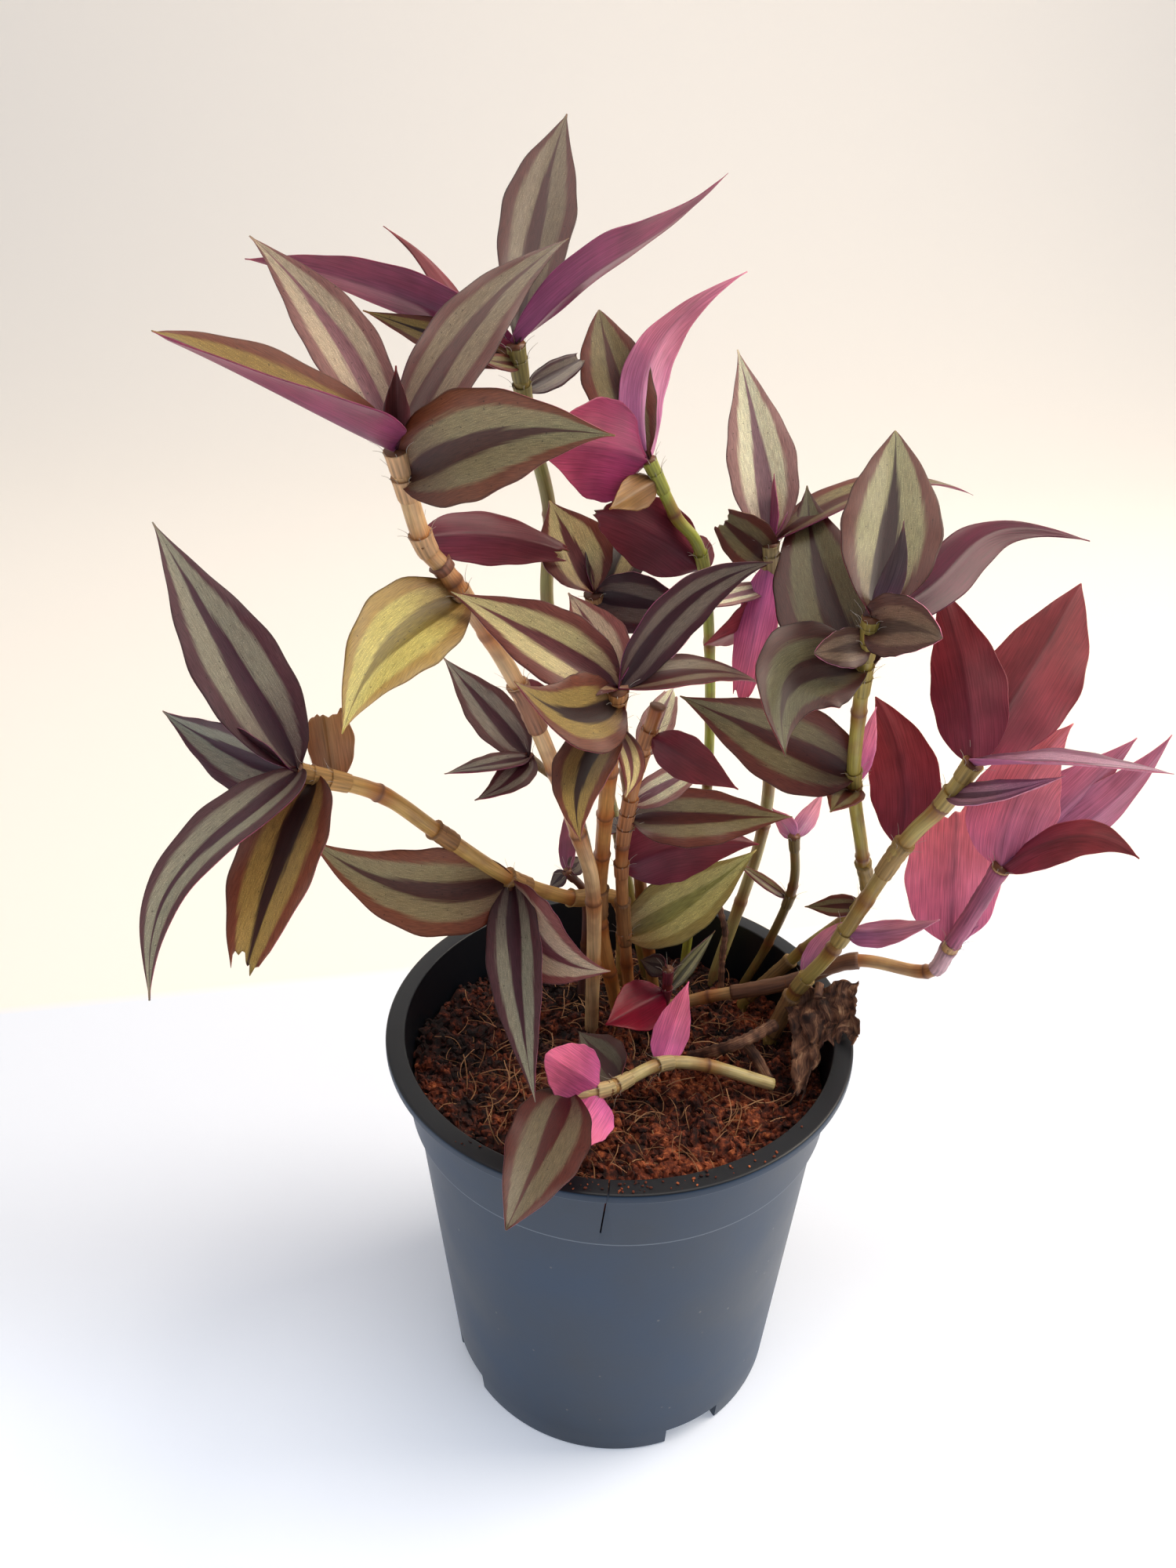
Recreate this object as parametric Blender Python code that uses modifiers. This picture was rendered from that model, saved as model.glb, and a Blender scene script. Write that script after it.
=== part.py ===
"""Potted tradescantia: a nursery pot filled with coir, fifteen rooted leafy shoots, one loose
cutting, one dead stem and one withered leaf. Metres, +Z up. The origin is the centre of the pot's
resting face and the plant's front faces -Y."""

import math

import bmesh
import bpy
import numpy as np
from mathutils import Vector

MM = 0.001

# Pot, a turned shell (radii and heights in mm).
POT_HEIGHT = 111.0
RIM_RADIUS = 60.0
LIP_DEPTH = 2.4
COLLAR_TOP_RADIUS = 56.4
COLLAR_LOW_RADIUS = 54.8
COLLAR_LOW = 89.5
BODY_TOP_RADIUS = 53.4
BASE_RADIUS = 45.8
WALL = 1.3
FLOOR = 1.8
TURN_STEPS = 44

# Drainage notches through the corner of floor and wall, and the split in the collar.
NOTCH_ANGLES = (-62, 28, 118, 208)
NOTCH_WIDTH = 16.0
NOTCH_HEIGHT = 6.0
SPLIT_ANGLE = -94.5
SPLIT_WIDTH = 0.7
SPLIT_HEIGHT = 15.0

# Coir filling: rings of its relief, from the middle to the wall.
SOIL_RINGS = (0, 12, 24, 35, 45, 53.4)
SOIL_LEVEL = 96.0
SOIL_FRONT_HEAP = 8.0
SOIL_GAP = 0.55
HOLE_GAP = 0.35
BURIED = 14.0

# Leaves.
BLADE = 0.8
WIDE_LEAF = 18.0
LEAF_SETBACK = 0.8
SHEATH_HALF = 1.9
FOLD = 22.0
WIDEST = 0.36
TAPER = 1.2

# Shoots. A stem is a radius and the points it passes through, in mm: the first is at the soil.
# A leaf is (station along the stem, heading, rise, length, width, roll, more). Station 2.5 is half
# way from point 2 to point 3. Heading 0 points to +X, and roll turns the blade about its midrib.
# In more: bow and sway bend the midrib out of and across the blade as a share of its length,
# hook bends the last half the other way, cut leaves that share of a torn leaf.
STEMS = {
    "stem_left_arch": (2.1, [
        (2, 38, 96), (0, 25, 130), (-13, 19, 135), (-28, 5, 150),
        (-43, -6, 169), (-55, -14, 184), (-70, -22, 193)]),
    "stem_upper_left": (2.1, [
        (-7, 13, 96), (-7, 4, 144), (-11, 0, 166), (-23, -8, 205),
        (-36, -16, 233), (-41, -19, 242), (-44, -26, 261)]),
    "stem_front": (2.1, [
        (1, 16, 96), (-5, 13, 131), (-5, 7, 156), (-4, -10, 188), (-3, -24, 214)]),
    "stem_middle": (1.9, [
        (11, 29, 96), (4, 25, 148), (-2, 15, 194), (-8, 2, 225)]),
    "stem_top": (2.0, [
        (9, 39, 96), (-4, 33, 162), (-18, 24, 209), (-18, 21, 237),
        (-22, 13, 258), (-24, 5, 275)]),
    "stem_top_right": (2.0, [
        (20, 38, 96), (23, 34, 162), (17, 12, 225), (9, 7, 241), (3, 4, 253)]),
    "stem_pale": (1.9, [
        (29, 37, 96), (40, 40, 146), (35, 22, 200), (31, 14, 233)]),
    "stem_right_front": (2.0, [
        (36, 25, 96), (51, 22, 117), (63, 14, 138), (59, 6, 157),
        (52, -4, 182), (49, -12, 204), (47, -20, 228)]),
    "stem_right_arch": (2.1, [
        (42, 10, 96), (47, 7, 115), (54, 2, 132), (64, -8, 168),
        (70, -12, 181), (74, -16, 194)]),
    "stem_far_right": (1.9, [
        (15, 23, 96), (26, 20, 102), (46, 15, 111), (63, 13, 120),
        (80, 6, 122), (82, -2, 136), (88, -8, 163)]),
    "stem_thin_back": (1.4, [
        (37, 33, 96), (43, 31, 113), (47, 26, 135), (45, 22, 153)]),
    "stem_low_centre": (1.8, [
        (4, 22, 96), (1, 15, 132), (0, 8, 158), (3, 5, 181), (7, 3, 198)]),
    "stem_small_left": (1.3, [
        (-6, 39, 96), (-8, 36, 136), (-14, 20, 166), (-23, 8, 182)]),
    "stem_small_purple": (1.2, [
        (-10, 29, 96), (-9, 28, 128), (-14, 21, 142)]),
    "sprout_low": (1.4, [
        (12, 14, 96), (13, 11, 111), (13, 10, 119)]),
    "loose_cutting": (1.8, [
        (39, -14, 101), (22, -14, 107), (10, -17, 110), (-3, -28, 112), (-13, -32, 114)]),
    "dead_stem": (1.6, [
        (19, -3, 100), (30, -9, 110), (41, 1, 108)]),
    "withered_leaf": (1.2, [
        (52, 4, 119), (51, 0, 118)]),
}

LEAVES = {
    "stem_left_arch": [
        (6, 135, 41, 66, 21, -15, {}),
        (6, 160, 15, 34, 18, -85, {"sway": 0.05, "fold": 32}),
        (6, -100, -8, 66, 15, 0, {"bow": 0.10, "sway": -0.05, "hook": 0.04}),
        (5.8, -93, -15, 62, 19, 5, {"sway": -0.03, "cut": 0.8, "fold": 18}),
        (5.6, 107, 36, 26, 12, 155, {"cut": 0.6, "fold": 25}),
        (3, -150, 28, 56, 23, -70, {"sway": 0.12}),
        (3, -50, -9, 38, 22, 55, {"sway": -0.18, "fold": 30}),
        (3, -82, -20, 60, 15, 20, {"sway": -0.02}),
    ],
    "stem_upper_left": [
        (6, 130, 33, 60, 15, -30, {"sway": -0.02}),
        (6, 55, 32, 62, 14, 60, {"sway": 0.06}),
        (6, -110, 23, 66, 13, -50, {"sway": -0.02}),
        (5.7, -43, 17, 54, 20, 90, {"sway": 0.07}),
        (6, 96, 43, 17, 5, -175, {}),
        (5.1, 38, -17, 40, 10, -120, {"sway": -0.06, "cut": 0.6}),
        (3.9, -111, -11, 48, 19, -40, {"sway": -0.09}),
        (3.1, 55, -23, 14, 6, -100, {"cut": 0.7}),
    ],
    "stem_front": [
        (4, 176, 30, 38, 16, -50, {"sway": -0.02}),
        (4, 112, 22, 30, 14, -30, {"sway": -0.03}),
        (4, 38, 24, 46, 11, 80, {"sway": 0.08}),
        (4, 43, 25, 34, 9, -105, {}),
        (4, 35, -11, 40, 11, 20, {"bow": 0.10}),
        (3.9, -135, 24, 30, 18, -55, {"sway": 0.16}),
        (3.6, -100, -9, 38, 14, 5, {"sway": -0.09}),
        (3.6, -85, -9, 24, 7, -20, {"sway": 0.10}),
    ],
    "stem_middle": [
        (3, 139, 54, 22, 17, -25, {}),
        (3, 62, 32, 30, 15, 40, {}),
        (3, -10, -12, 23, 14, 90, {}),
        (3, 90, 25, 14, 5, 180, {}),
    ],
    "stem_top": [
        (5, 79, 41, 62, 18, 20, {}),
        (5, 38, 29, 62, 14, -60, {"sway": -0.05, "hook": -0.03}),
        (5, 141, 29, 42, 8, 175, {"sway": 0.02}),
        (5, 152, 11, 70, 13, 65, {"sway": 0.04}),
        (4.8, 160, 10, 36, 9, -55, {}),
        (4.8, -124, 2, 14, 5, -60, {}),
        (4.2, 61, 26, 27, 8, 65, {"cut": 0.75}),
    ],
    "stem_top_right": [
        (4, 107, 35, 44, 15, -15, {"sway": 0.04, "hook": 0.06}),
        (4, 60, 36, 52, 12, -155, {"sway": -0.17}),
        (4, -136, 13, 34, 19, 95, {"sway": 0.04, "widest": 0.28}),
        (3.7, -125, -8, 18, 8, 125, {}),
        (2.2, -150, 29, 38, 17, 90, {"sway": 0.06, "cut": 0.8}),
        (2.2, 95, 36, 13, 7, 160, {"cut": 0.7}),
    ],
    "stem_pale": [
        (3, 100, 46, 50, 17, -10, {"sway": -0.04}),
        (3, 72, 37, 24, 8, -30, {}),
        (3, 112, 63, 16, 6, 110, {}),
        (3, 32, 3, 64, 12, 5, {"bow": 0.12}),
        (2.9, -157, 42, 20, 11, -100, {"cut": 0.6}),
        (2.9, -111, -55, 40, 10, 170, {"cut": 0.8}),
        (2.7, -146, -5, 26, 7, -30, {}),
        (2.2, -136, 16, 26, 12, 75, {}),
    ],
    "stem_right_front": [
        (6, 76, 40, 46, 22, 10, {"sway": -0.03}),
        (5.7, 106, 36, 42, 19, -10, {"sway": 0.10}),
        (6, 30, 7, 62, 11, -150, {"sway": -0.12}),
        (6, 53, 66, 20, 6, -160, {}),
        (5.9, -72, 7, 26, 11, 95, {"cut": 0.75}),
        (5.5, -128, -14, 32, 18, -35, {}),
        (4.2, -174, 27, 46, 21, -75, {}),
        (4, -120, 6, 16, 9, -5, {}),
        (4.1, 67, 31, 22, 6, 160, {}),
        (2, 153, -18, 16, 7, -40, {}),
    ],
    "stem_right_arch": [
        (5, 97, 43, 42, 19, 145, {"sway": 0.06}),
        (5, 49, 33, 54, 21, -175, {"sway": 0.04}),
        (5, -69, 24, 54, 12, 0, {}),
        (4.3, -63, 33, 34, 11, 35, {}),
        (3, 97, 45, 38, 17, 150, {"sway": 0.07}),
        (2.2, -35, 30, 26, 8, -145, {"sway": 0.05}),
        (1.3, 30, 48, 20, 8, -165, {"sway": -0.10}),
    ],
    "stem_far_right": [
        (5, 84, 65, 50, 22, 170, {"cut": 0.72}),
        (5, 39, 40, 30, 14, 175, {}),
        (6, 34, 64, 37, 12, 70, {"sway": 0.04}),
        (6, 24, 39, 44, 17, 55, {}),
        (6, 18, 36, 50, 15, 70, {"sway": -0.08}),
        (6, -63, 33, 40, 14, -130, {"sway": 0.05}),
    ],
    "stem_thin_back": [
        (3, 56, 18, 18, 6, -175, {}),
        (3, 116, 17, 11, 6, 120, {}),
        (1.8, 154, 26, 18, 4, -25, {}),
    ],
    "stem_low_centre": [
        (1.7, 19, 0, 38, 16, -125, {"sway": -0.08}),
        (0.8, 13, 33, 42, 20, 50, {"sway": -0.10}),
        (2.2, 111, -18, 16, 8, -25, {"cut": 0.8}),
        (3.2, 69, 19, 30, 9, 20, {"cut": 0.8}),
        (2.4, 15, -7, 44, 16, 60, {}),
        (3.6, -59, 3, 34, 11, -125, {}),
        (2.6, 21, 22, 24, 9, 55, {"cut": 0.7}),
    ],
    "stem_small_left": [
        (3, 138, 31, 34, 13, -30, {}),
        (3, -126, 15, 30, 7, -15, {}),
        (3, -121, -3, 22, 9, -15, {"sway": 0.08}),
    ],
    "stem_small_purple": [
        (2, 92, 15, 24, 5, 170, {}),
        (2, 163, -50, 8, 5, -60, {}),
        (2, 66, -5, 10, 6, 45, {}),
    ],
    "sprout_low": [
        (1, -139, 0, 22, 15, 140, {}),
        (2, 131, -15, 11, 7, -55, {}),
        (1, 51, 19, 24, 5, 50, {}),
    ],
    "loose_cutting": [
        (2, 69, 24, 24, 10, -175, {"sway": -0.10}),
        (3.2, -159, 46, 20, 16, 105, {"sway": -0.20}),
        (2.8, 114, -9, 26, 14, -30, {}),
        (4, -105, 6, 46, 18, -20, {"bow": 0.08}),
    ],
    "dead_stem": [],
    "withered_leaf": [
        (0.5, -117, -25, 34, 18, 25, {"ruffle": 0.05}),
    ],
}

# Linear base colours of the two faces' average, by node.
COLOURS = {
    "stem_left_arch": (0.16, 0.10, 0.10),
    "stem_upper_left": (0.17, 0.09, 0.09),
    "stem_front": (0.17, 0.10, 0.09),
    "stem_middle": (0.15, 0.09, 0.09),
    "stem_top": (0.14, 0.07, 0.06),
    "stem_top_right": (0.24, 0.06, 0.11),
    "stem_pale": (0.25, 0.20, 0.19),
    "stem_right_front": (0.15, 0.10, 0.09),
    "stem_right_arch": (0.22, 0.06, 0.05),
    "stem_far_right": (0.35, 0.08, 0.10),
    "stem_thin_back": (0.20, 0.09, 0.13),
    "stem_low_centre": (0.25, 0.12, 0.07),
    "stem_small_left": (0.10, 0.08, 0.09),
    "stem_small_purple": (0.12, 0.06, 0.09),
    "sprout_low": (0.22, 0.02, 0.05),
    "loose_cutting": (0.45, 0.12, 0.26),
    "dead_stem": (0.17, 0.10, 0.06),
    "withered_leaf": (0.12, 0.06, 0.04),
}
POT_COLOUR = (0.045, 0.055, 0.068)
SOIL_COLOUR = (0.11, 0.035, 0.014)


def clear_scene():
    """Removes the startup objects."""
    for obj in list(bpy.data.objects):
        bpy.data.objects.remove(obj)


def make_collection(name):
    """A new collection under the scene's own."""
    collection = bpy.data.collections.new(name)
    bpy.context.scene.collection.children.link(collection)
    return collection


def make_material(name, colour, roughness):
    """A plain Principled BSDF material."""
    material = bpy.data.materials.new(name)
    material.use_nodes = True
    shader = material.node_tree.nodes["Principled BSDF"]
    shader.inputs["Base Color"].default_value = (*colour, 1)
    shader.inputs["Roughness"].default_value = roughness
    return material


def mesh_object(name, bm, collection):
    """A new object holding what the bmesh holds."""
    mesh = bpy.data.meshes.new(name)
    bm.to_mesh(mesh)
    bm.free()
    obj = bpy.data.objects.new(name, mesh)
    collection.objects.link(obj)
    return obj


def plain_mesh(obj):
    """Replaces the object's mesh by its evaluated one and drops the modifiers."""
    graph = bpy.context.evaluated_depsgraph_get()
    mesh = bpy.data.meshes.new_from_object(obj.evaluated_get(graph))
    obj.modifiers.clear()
    obj.data = mesh


def hide_cutter(obj):
    """Marks a helper that is no part of the model."""
    obj.hide_render = True
    obj.display_type = "WIRE"


def boolean(obj, operation, collection, solver):
    """One Boolean modifier with everything in a collection."""
    modifier = obj.modifiers.new(operation.title(), "BOOLEAN")
    modifier.operation = operation
    modifier.operand_type = "COLLECTION"
    modifier.collection = collection
    modifier.solver = solver


def turned(name, profile, collection):
    """A solid of revolution: the profile's (radius, height) points run down its outer side."""
    bm = bmesh.new()
    verts = [bm.verts.new((r * MM, 0, z * MM)) for r, z in profile]
    for a, b in zip(verts, verts[1:]):
        bm.edges.new((a, b))
    obj = mesh_object(name, bm, collection)
    screw = obj.modifiers.new("Screw", "SCREW")
    screw.steps = TURN_STEPS
    screw.render_steps = TURN_STEPS
    screw.use_merge_vertices = True
    screw.merge_threshold = 0.0001
    screw.use_smooth_shade = True
    return obj


def wall_radius(z):
    """The pot's outer radius in mm under its lip, at a height in mm."""
    if z < COLLAR_LOW - 1:
        return BASE_RADIUS + (BODY_TOP_RADIUS - BASE_RADIUS) * z / COLLAR_LOW
    share = (z - COLLAR_LOW) / (POT_HEIGHT - COLLAR_LOW)
    return COLLAR_LOW_RADIUS + (COLLAR_TOP_RADIUS - COLLAR_LOW_RADIUS) * share


def pot_profile():
    """From the middle of the floor up the inside, over the lip and down the outside."""
    top = POT_HEIGHT
    return [
        (0, FLOOR),
        (BASE_RADIUS - WALL - 1.2, FLOOR),
        (BASE_RADIUS - WALL, FLOOR + 1.2),
        (BODY_TOP_RADIUS - WALL, COLLAR_LOW - 3),
        (COLLAR_LOW_RADIUS - WALL, COLLAR_LOW),
        (COLLAR_TOP_RADIUS - WALL, top - 0.5),
        (COLLAR_TOP_RADIUS - WALL + 0.5, top),
        (RIM_RADIUS - 0.7, top),
        (RIM_RADIUS, top - 0.7),
        (RIM_RADIUS, top - LIP_DEPTH + 0.4),
        (RIM_RADIUS - 0.4, top - LIP_DEPTH),
        (COLLAR_TOP_RADIUS, top - LIP_DEPTH),
        (COLLAR_LOW_RADIUS, COLLAR_LOW + 0.6),
        (COLLAR_LOW_RADIUS - 0.5, COLLAR_LOW),
        (BODY_TOP_RADIUS, COLLAR_LOW - 1),
        (BASE_RADIUS, 1.0),
        (BASE_RADIUS - 1.0, 0),
        (0, 0),
    ]


def radial_box(name, angle, radius, width, depth, low, high, collection):
    """A box across the wall at an angle in degrees, for cutting."""
    bm = bmesh.new()
    bmesh.ops.create_cube(bm, size=1)
    obj = mesh_object(name, bm, collection)
    size = Vector((depth, width, high - low)) * MM
    for vert in obj.data.vertices:
        vert.co = vert.co * size
    turn = math.radians(angle)
    middle = Vector((radius * math.cos(turn), radius * math.sin(turn), (low + high) / 2))
    obj.location = middle * MM
    obj.rotation_euler = (0, 0, turn)
    hide_cutter(obj)


def make_pot(parts, cutters):
    """The pot, with its drainage notches and the split in its collar cut through."""
    pot = turned("pot", pot_profile(), parts)
    for k, angle in enumerate(NOTCH_ANGLES):
        radial_box(f"notch_{k}", angle, BASE_RADIUS, NOTCH_WIDTH, 9, -1, NOTCH_HEIGHT, cutters)
    top = POT_HEIGHT - LIP_DEPTH - 0.8
    radial_box(
        "split", SPLIT_ANGLE, wall_radius(100), SPLIT_WIDTH, 5, top - SPLIT_HEIGHT, top, cutters
    )
    boolean(pot, "DIFFERENCE", cutters, "EXACT")
    pot.data.materials.append(make_material("pot", POT_COLOUR, 0.45))
    return pot


def soil_height(x, y):
    """Height in mm of the coir's surface: heaped at the front and left, with low lumps."""
    heap = SOIL_FRONT_HEAP * min(max(0.5 - y / 90, 0), 1) ** 1.5
    left = 3.0 * min(max(-x / 55, 0), 1)
    lumps = math.sin(x * 0.31 + 1.0) * math.cos(y * 0.27 + 0.4)
    lumps += 0.6 * math.sin(x * 0.62 - y * 0.53)
    return SOIL_LEVEL - 2 + heap + left + 0.8 * lumps


def make_soil(parts):
    """The coir filling, turned to fit the pot, its top raised by the relief's formula."""
    inner = wall_radius(SOIL_LEVEL) - WALL - SOIL_GAP
    profile = [(r * inner / SOIL_RINGS[-1], SOIL_LEVEL) for r in SOIL_RINGS]
    profile.append((wall_radius(COLLAR_LOW) - WALL - SOIL_GAP, COLLAR_LOW))
    profile.append((BODY_TOP_RADIUS - WALL - SOIL_GAP, COLLAR_LOW - 3.5))
    profile.append((BASE_RADIUS - WALL - SOIL_GAP, FLOOR + 1.6))
    profile.append((BASE_RADIUS - WALL - SOIL_GAP - 1.2, FLOOR + 0.35))
    profile.append((0, FLOOR + 0.35))
    soil = turned("soil", profile, parts)
    plain_mesh(soil)
    for vert in soil.data.vertices:
        if vert.co.z > (SOIL_LEVEL - 0.5) * MM:
            vert.co.z = soil_height(vert.co.x / MM, vert.co.y / MM) * MM
    soil.data.materials.append(make_material("soil", SOIL_COLOUR, 0.95))
    return soil


def smooth_path(points, steps):
    """Catmull-Rom points through the given ones."""
    pts = [Vector(p) for p in points]
    pts = [2 * pts[0] - pts[1], *pts, 2 * pts[-1] - pts[-2]]
    path = []
    for a, b, c, d in zip(pts, pts[1:], pts[2:], pts[3:]):
        for k in range(steps):
            u = k / steps
            bend = (2 * a - 5 * b + 4 * c - d) * u * u + (3 * b - a - 3 * c + d) * u**3
            path.append((2 * b + (c - a) * u + bend) / 2)
    path.append(pts[-2])
    return path


def tube(name, path, radii, collection):
    """A capped round tube along a path in mm, as a mesh with welded caps."""
    curve = bpy.data.curves.new(name, "CURVE")
    curve.dimensions = "3D"
    curve.bevel_depth = MM
    curve.bevel_resolution = 1
    curve.use_fill_caps = True
    spline = curve.splines.new("POLY")
    spline.points.add(len(path) - 1)
    for point, place, radius in zip(spline.points, path, radii):
        point.co = (*(place * MM), 1)
        point.radius = radius
    guide = bpy.data.objects.new(name + "_path", curve)
    collection.objects.link(guide)
    bpy.context.view_layer.update()
    graph = bpy.context.evaluated_depsgraph_get()
    mesh = bpy.data.meshes.new_from_object(guide.evaluated_get(graph))
    bm = bmesh.new()
    bm.from_mesh(mesh)
    bmesh.ops.remove_doubles(bm, verts=bm.verts, dist=1e-6)
    bmesh.ops.recalc_face_normals(bm, faces=bm.faces)
    obj = mesh_object(name, bm, collection)
    obj.matrix_world = guide.matrix_world
    bpy.data.objects.remove(guide)
    return obj


def stem_path(name):
    """The stem's path, with its buried foot, and its radius at each point, swollen at nodes."""
    radius, points = STEMS[name]
    steps = 2
    path = smooth_path(points, steps)
    radii = [radius * (1.22 if k % steps == 0 and k else 1.0) for k in range(len(path))]
    if name not in ("loose_cutting", "dead_stem", "withered_leaf"):
        path.insert(0, path[0] - Vector((0, 0, BURIED)))
        radii.insert(0, radius)
    return path, radii


def station(name, place, order):
    """The point of the stem at a leaf's station, in mm. Each later leaf roots a little lower."""
    points = STEMS[name][1]
    k = min(int(place), len(points) - 2)
    low = np.array(points[k], float)
    high = np.array(points[k + 1], float)
    return low + (high - low) * (place - k) - unit(high - low) * LEAF_SETBACK * (order + 1)


def leaf_frame(heading, rise, roll):
    """Unit vectors along the leaf, across it, and out of its upper face."""
    h, r, turn = (math.radians(value) for value in (heading, rise, roll))
    along = np.array([math.cos(h) * math.cos(r), math.sin(h) * math.cos(r), math.sin(r)])
    out = np.array([-math.cos(h) * math.sin(r), -math.sin(h) * math.sin(r), math.cos(r)])
    across = np.cross(out, along)
    rolled = across * math.cos(turn) + out * math.sin(turn)
    return along, rolled, out * math.cos(turn) - across * math.sin(turn)


def unit(vectors):
    """Vectors scaled to length one."""
    return vectors / np.linalg.norm(vectors, axis=-1, keepdims=True)


def leaf_surface(base, heading, rise, length, width, roll, more, t, x):
    """Points of a blade at shares t along it and x across it (-1 to 1): a rounded, sheathing
    base, a widest place near a third, a long point, a V fold and a bent midrib."""
    along, across, out = leaf_frame(heading, rise, roll)
    bow, sway = more.get("bow", 0), more.get("sway", 0)
    hook, ruffle = more.get("hook", 0), more.get("ruffle", 0)

    def midrib(s):
        hump = 4 * s * (1 - s)
        side = sway * hump + hook * np.sin(2 * np.pi * s)
        shape = np.outer(s, along) + np.outer(bow * hump, out) + np.outer(side, across)
        return base + length * shape

    tangent = unit(midrib(t + 1e-3) - midrib(t - 1e-3))
    normal = unit(out - tangent * (tangent @ out)[:, None])
    side = np.cross(normal, tangent)
    power = math.log(0.5) / math.log(more.get("widest", WIDEST))
    blade = np.sin(np.pi * np.clip(t, 0, 1) ** power)
    half = width / 2 * np.clip(blade, 0, 1) ** TAPER
    half = np.maximum(half, SHEATH_HALF * np.clip(1 - t / 0.12, 0, 1))
    half = np.maximum(half, 0.15)
    fold = math.radians(more.get("fold", FOLD)) * (1.25 - 0.6 * t)
    lateral = half * np.cos(fold) * x
    lift = half * np.sin(fold) * (np.sqrt(x * x + 0.03) - math.sqrt(0.03))
    lift = lift + ruffle * length * np.sin(18 * t) * x * np.abs(x)
    return midrib(t) + lateral[:, None] * side + lift[:, None] * normal


def make_leaf(name, stem, leaf, order, collection):
    """One blade: a grid laid on its surface, in triangles, then given its thickness."""
    place, heading, rise, length, width, roll, more = leaf
    stations = 4 + (length >= 20) + (length >= 35) + (length >= 60)
    cells = 4 if width >= WIDE_LEAF else 2
    bm = bmesh.new()
    bmesh.ops.create_grid(bm, x_segments=stations, y_segments=cells, size=0.5)
    flat = np.array([vert.co[:] for vert in bm.verts])
    t = (flat[:, 0] + 0.5) * more.get("cut", 1.0)
    surface = leaf_surface(
        station(stem, place, order), heading, rise, length, width, roll, more, t, flat[:, 1] * 2
    )
    for vert, point in zip(bm.verts, surface):
        vert.co = Vector(point) * MM
    bmesh.ops.triangulate(bm, faces=bm.faces)
    obj = mesh_object(name, bm, collection)
    shell = obj.modifiers.new("Solidify", "SOLIDIFY")
    shell.thickness = BLADE * MM
    shell.offset = 0
    return obj


def make_shoot(name, parts):
    """A stem joined with its leaves into one solid."""
    path, radii = stem_path(name)
    obj = tube(name, path, radii, parts)
    blades = make_collection(name + "_blades")
    for k, leaf in enumerate(LEAVES[name]):
        make_leaf(f"{name}_blade_{k}", name, leaf, k, blades)
    if LEAVES[name]:
        # Where many thin blades root together the exact solver leaves open edges.
        boolean(obj, "UNION", blades, "MANIFOLD")
        bpy.context.view_layer.update()
        plain_mesh(obj)
    for blade in list(blades.objects):
        bpy.data.objects.remove(blade)
    bpy.data.collections.remove(blades)
    obj.data.shade_smooth()
    obj.data.set_sharp_from_angle(angle=math.radians(35))
    obj.data.materials.clear()
    obj.data.materials.append(make_material(name, COLOURS[name], 0.4))


def make_holes(soil, holes):
    """A plain hole in the soil around each rooted stem's foot."""
    for name in STEMS:
        path, radii = stem_path(name)
        if path[0].z > SOIL_LEVEL - 5:
            continue
        foot = [path[0] - Vector((0, 0, 0.5)), *path[1:4]]
        wide = [radius + HOLE_GAP for radius in radii[:4]]
        hide_cutter(tube("hole_" + name, foot, wide, holes))
    boolean(soil, "DIFFERENCE", holes, "EXACT")


def main():
    clear_scene()
    parts = make_collection("potted_tradescantia")
    cutters = make_collection("pot_cutters")
    holes = make_collection("soil_cutters")
    make_pot(parts, cutters)
    soil = make_soil(parts)
    for name in STEMS:
        make_shoot(name, parts)
    make_holes(soil, holes)


main()
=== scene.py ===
# %% [markdown]
# # A potted tradescantia
# This notebook dresses a measured model of a houseplant in a nursery pot. The measured model is a
# frame: it says where the pot, the coir and every shoot are. The cells below make the surfaces
# that the eye sees: thin striped leaves, jointed stems, crumbly coir and moulded plastic.

# %% Load the frame
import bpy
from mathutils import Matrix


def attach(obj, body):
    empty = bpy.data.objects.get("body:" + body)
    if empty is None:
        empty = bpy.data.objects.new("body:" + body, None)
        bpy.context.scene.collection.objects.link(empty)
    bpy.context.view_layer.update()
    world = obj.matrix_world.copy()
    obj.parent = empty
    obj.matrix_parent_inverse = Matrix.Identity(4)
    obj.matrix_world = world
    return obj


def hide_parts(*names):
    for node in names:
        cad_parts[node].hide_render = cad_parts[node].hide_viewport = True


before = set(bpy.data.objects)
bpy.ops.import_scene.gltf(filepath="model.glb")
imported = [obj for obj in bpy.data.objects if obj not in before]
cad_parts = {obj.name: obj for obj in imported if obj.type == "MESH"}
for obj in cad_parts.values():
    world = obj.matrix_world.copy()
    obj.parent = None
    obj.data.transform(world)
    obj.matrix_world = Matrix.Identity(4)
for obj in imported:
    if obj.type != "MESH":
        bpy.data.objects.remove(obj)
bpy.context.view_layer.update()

# %% Modules and units
import math

import bmesh
import bpy
import numpy as np
from mathutils import Euler, Matrix, Vector, noise

MM = 0.001
rng = np.random.default_rng(7)

# %% [markdown]
# Colours are written as the hex values that a colour picker shows, which are sRGB. Blender shades
# in linear light, so one function turns them. Another small function adds a node with its
# settings and its links, so that each material reads from top to bottom.

# %% Colour and node helpers


def linear(code):
    """An sRGB hex colour as linear RGBA."""
    channels = [int(code[k:k + 2], 16) / 255 for k in (0, 2, 4)]
    return [c / 12.92 if c <= 0.04045 else ((c + 0.055) / 1.055) ** 2.4 for c in channels] + [1.0]


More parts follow.
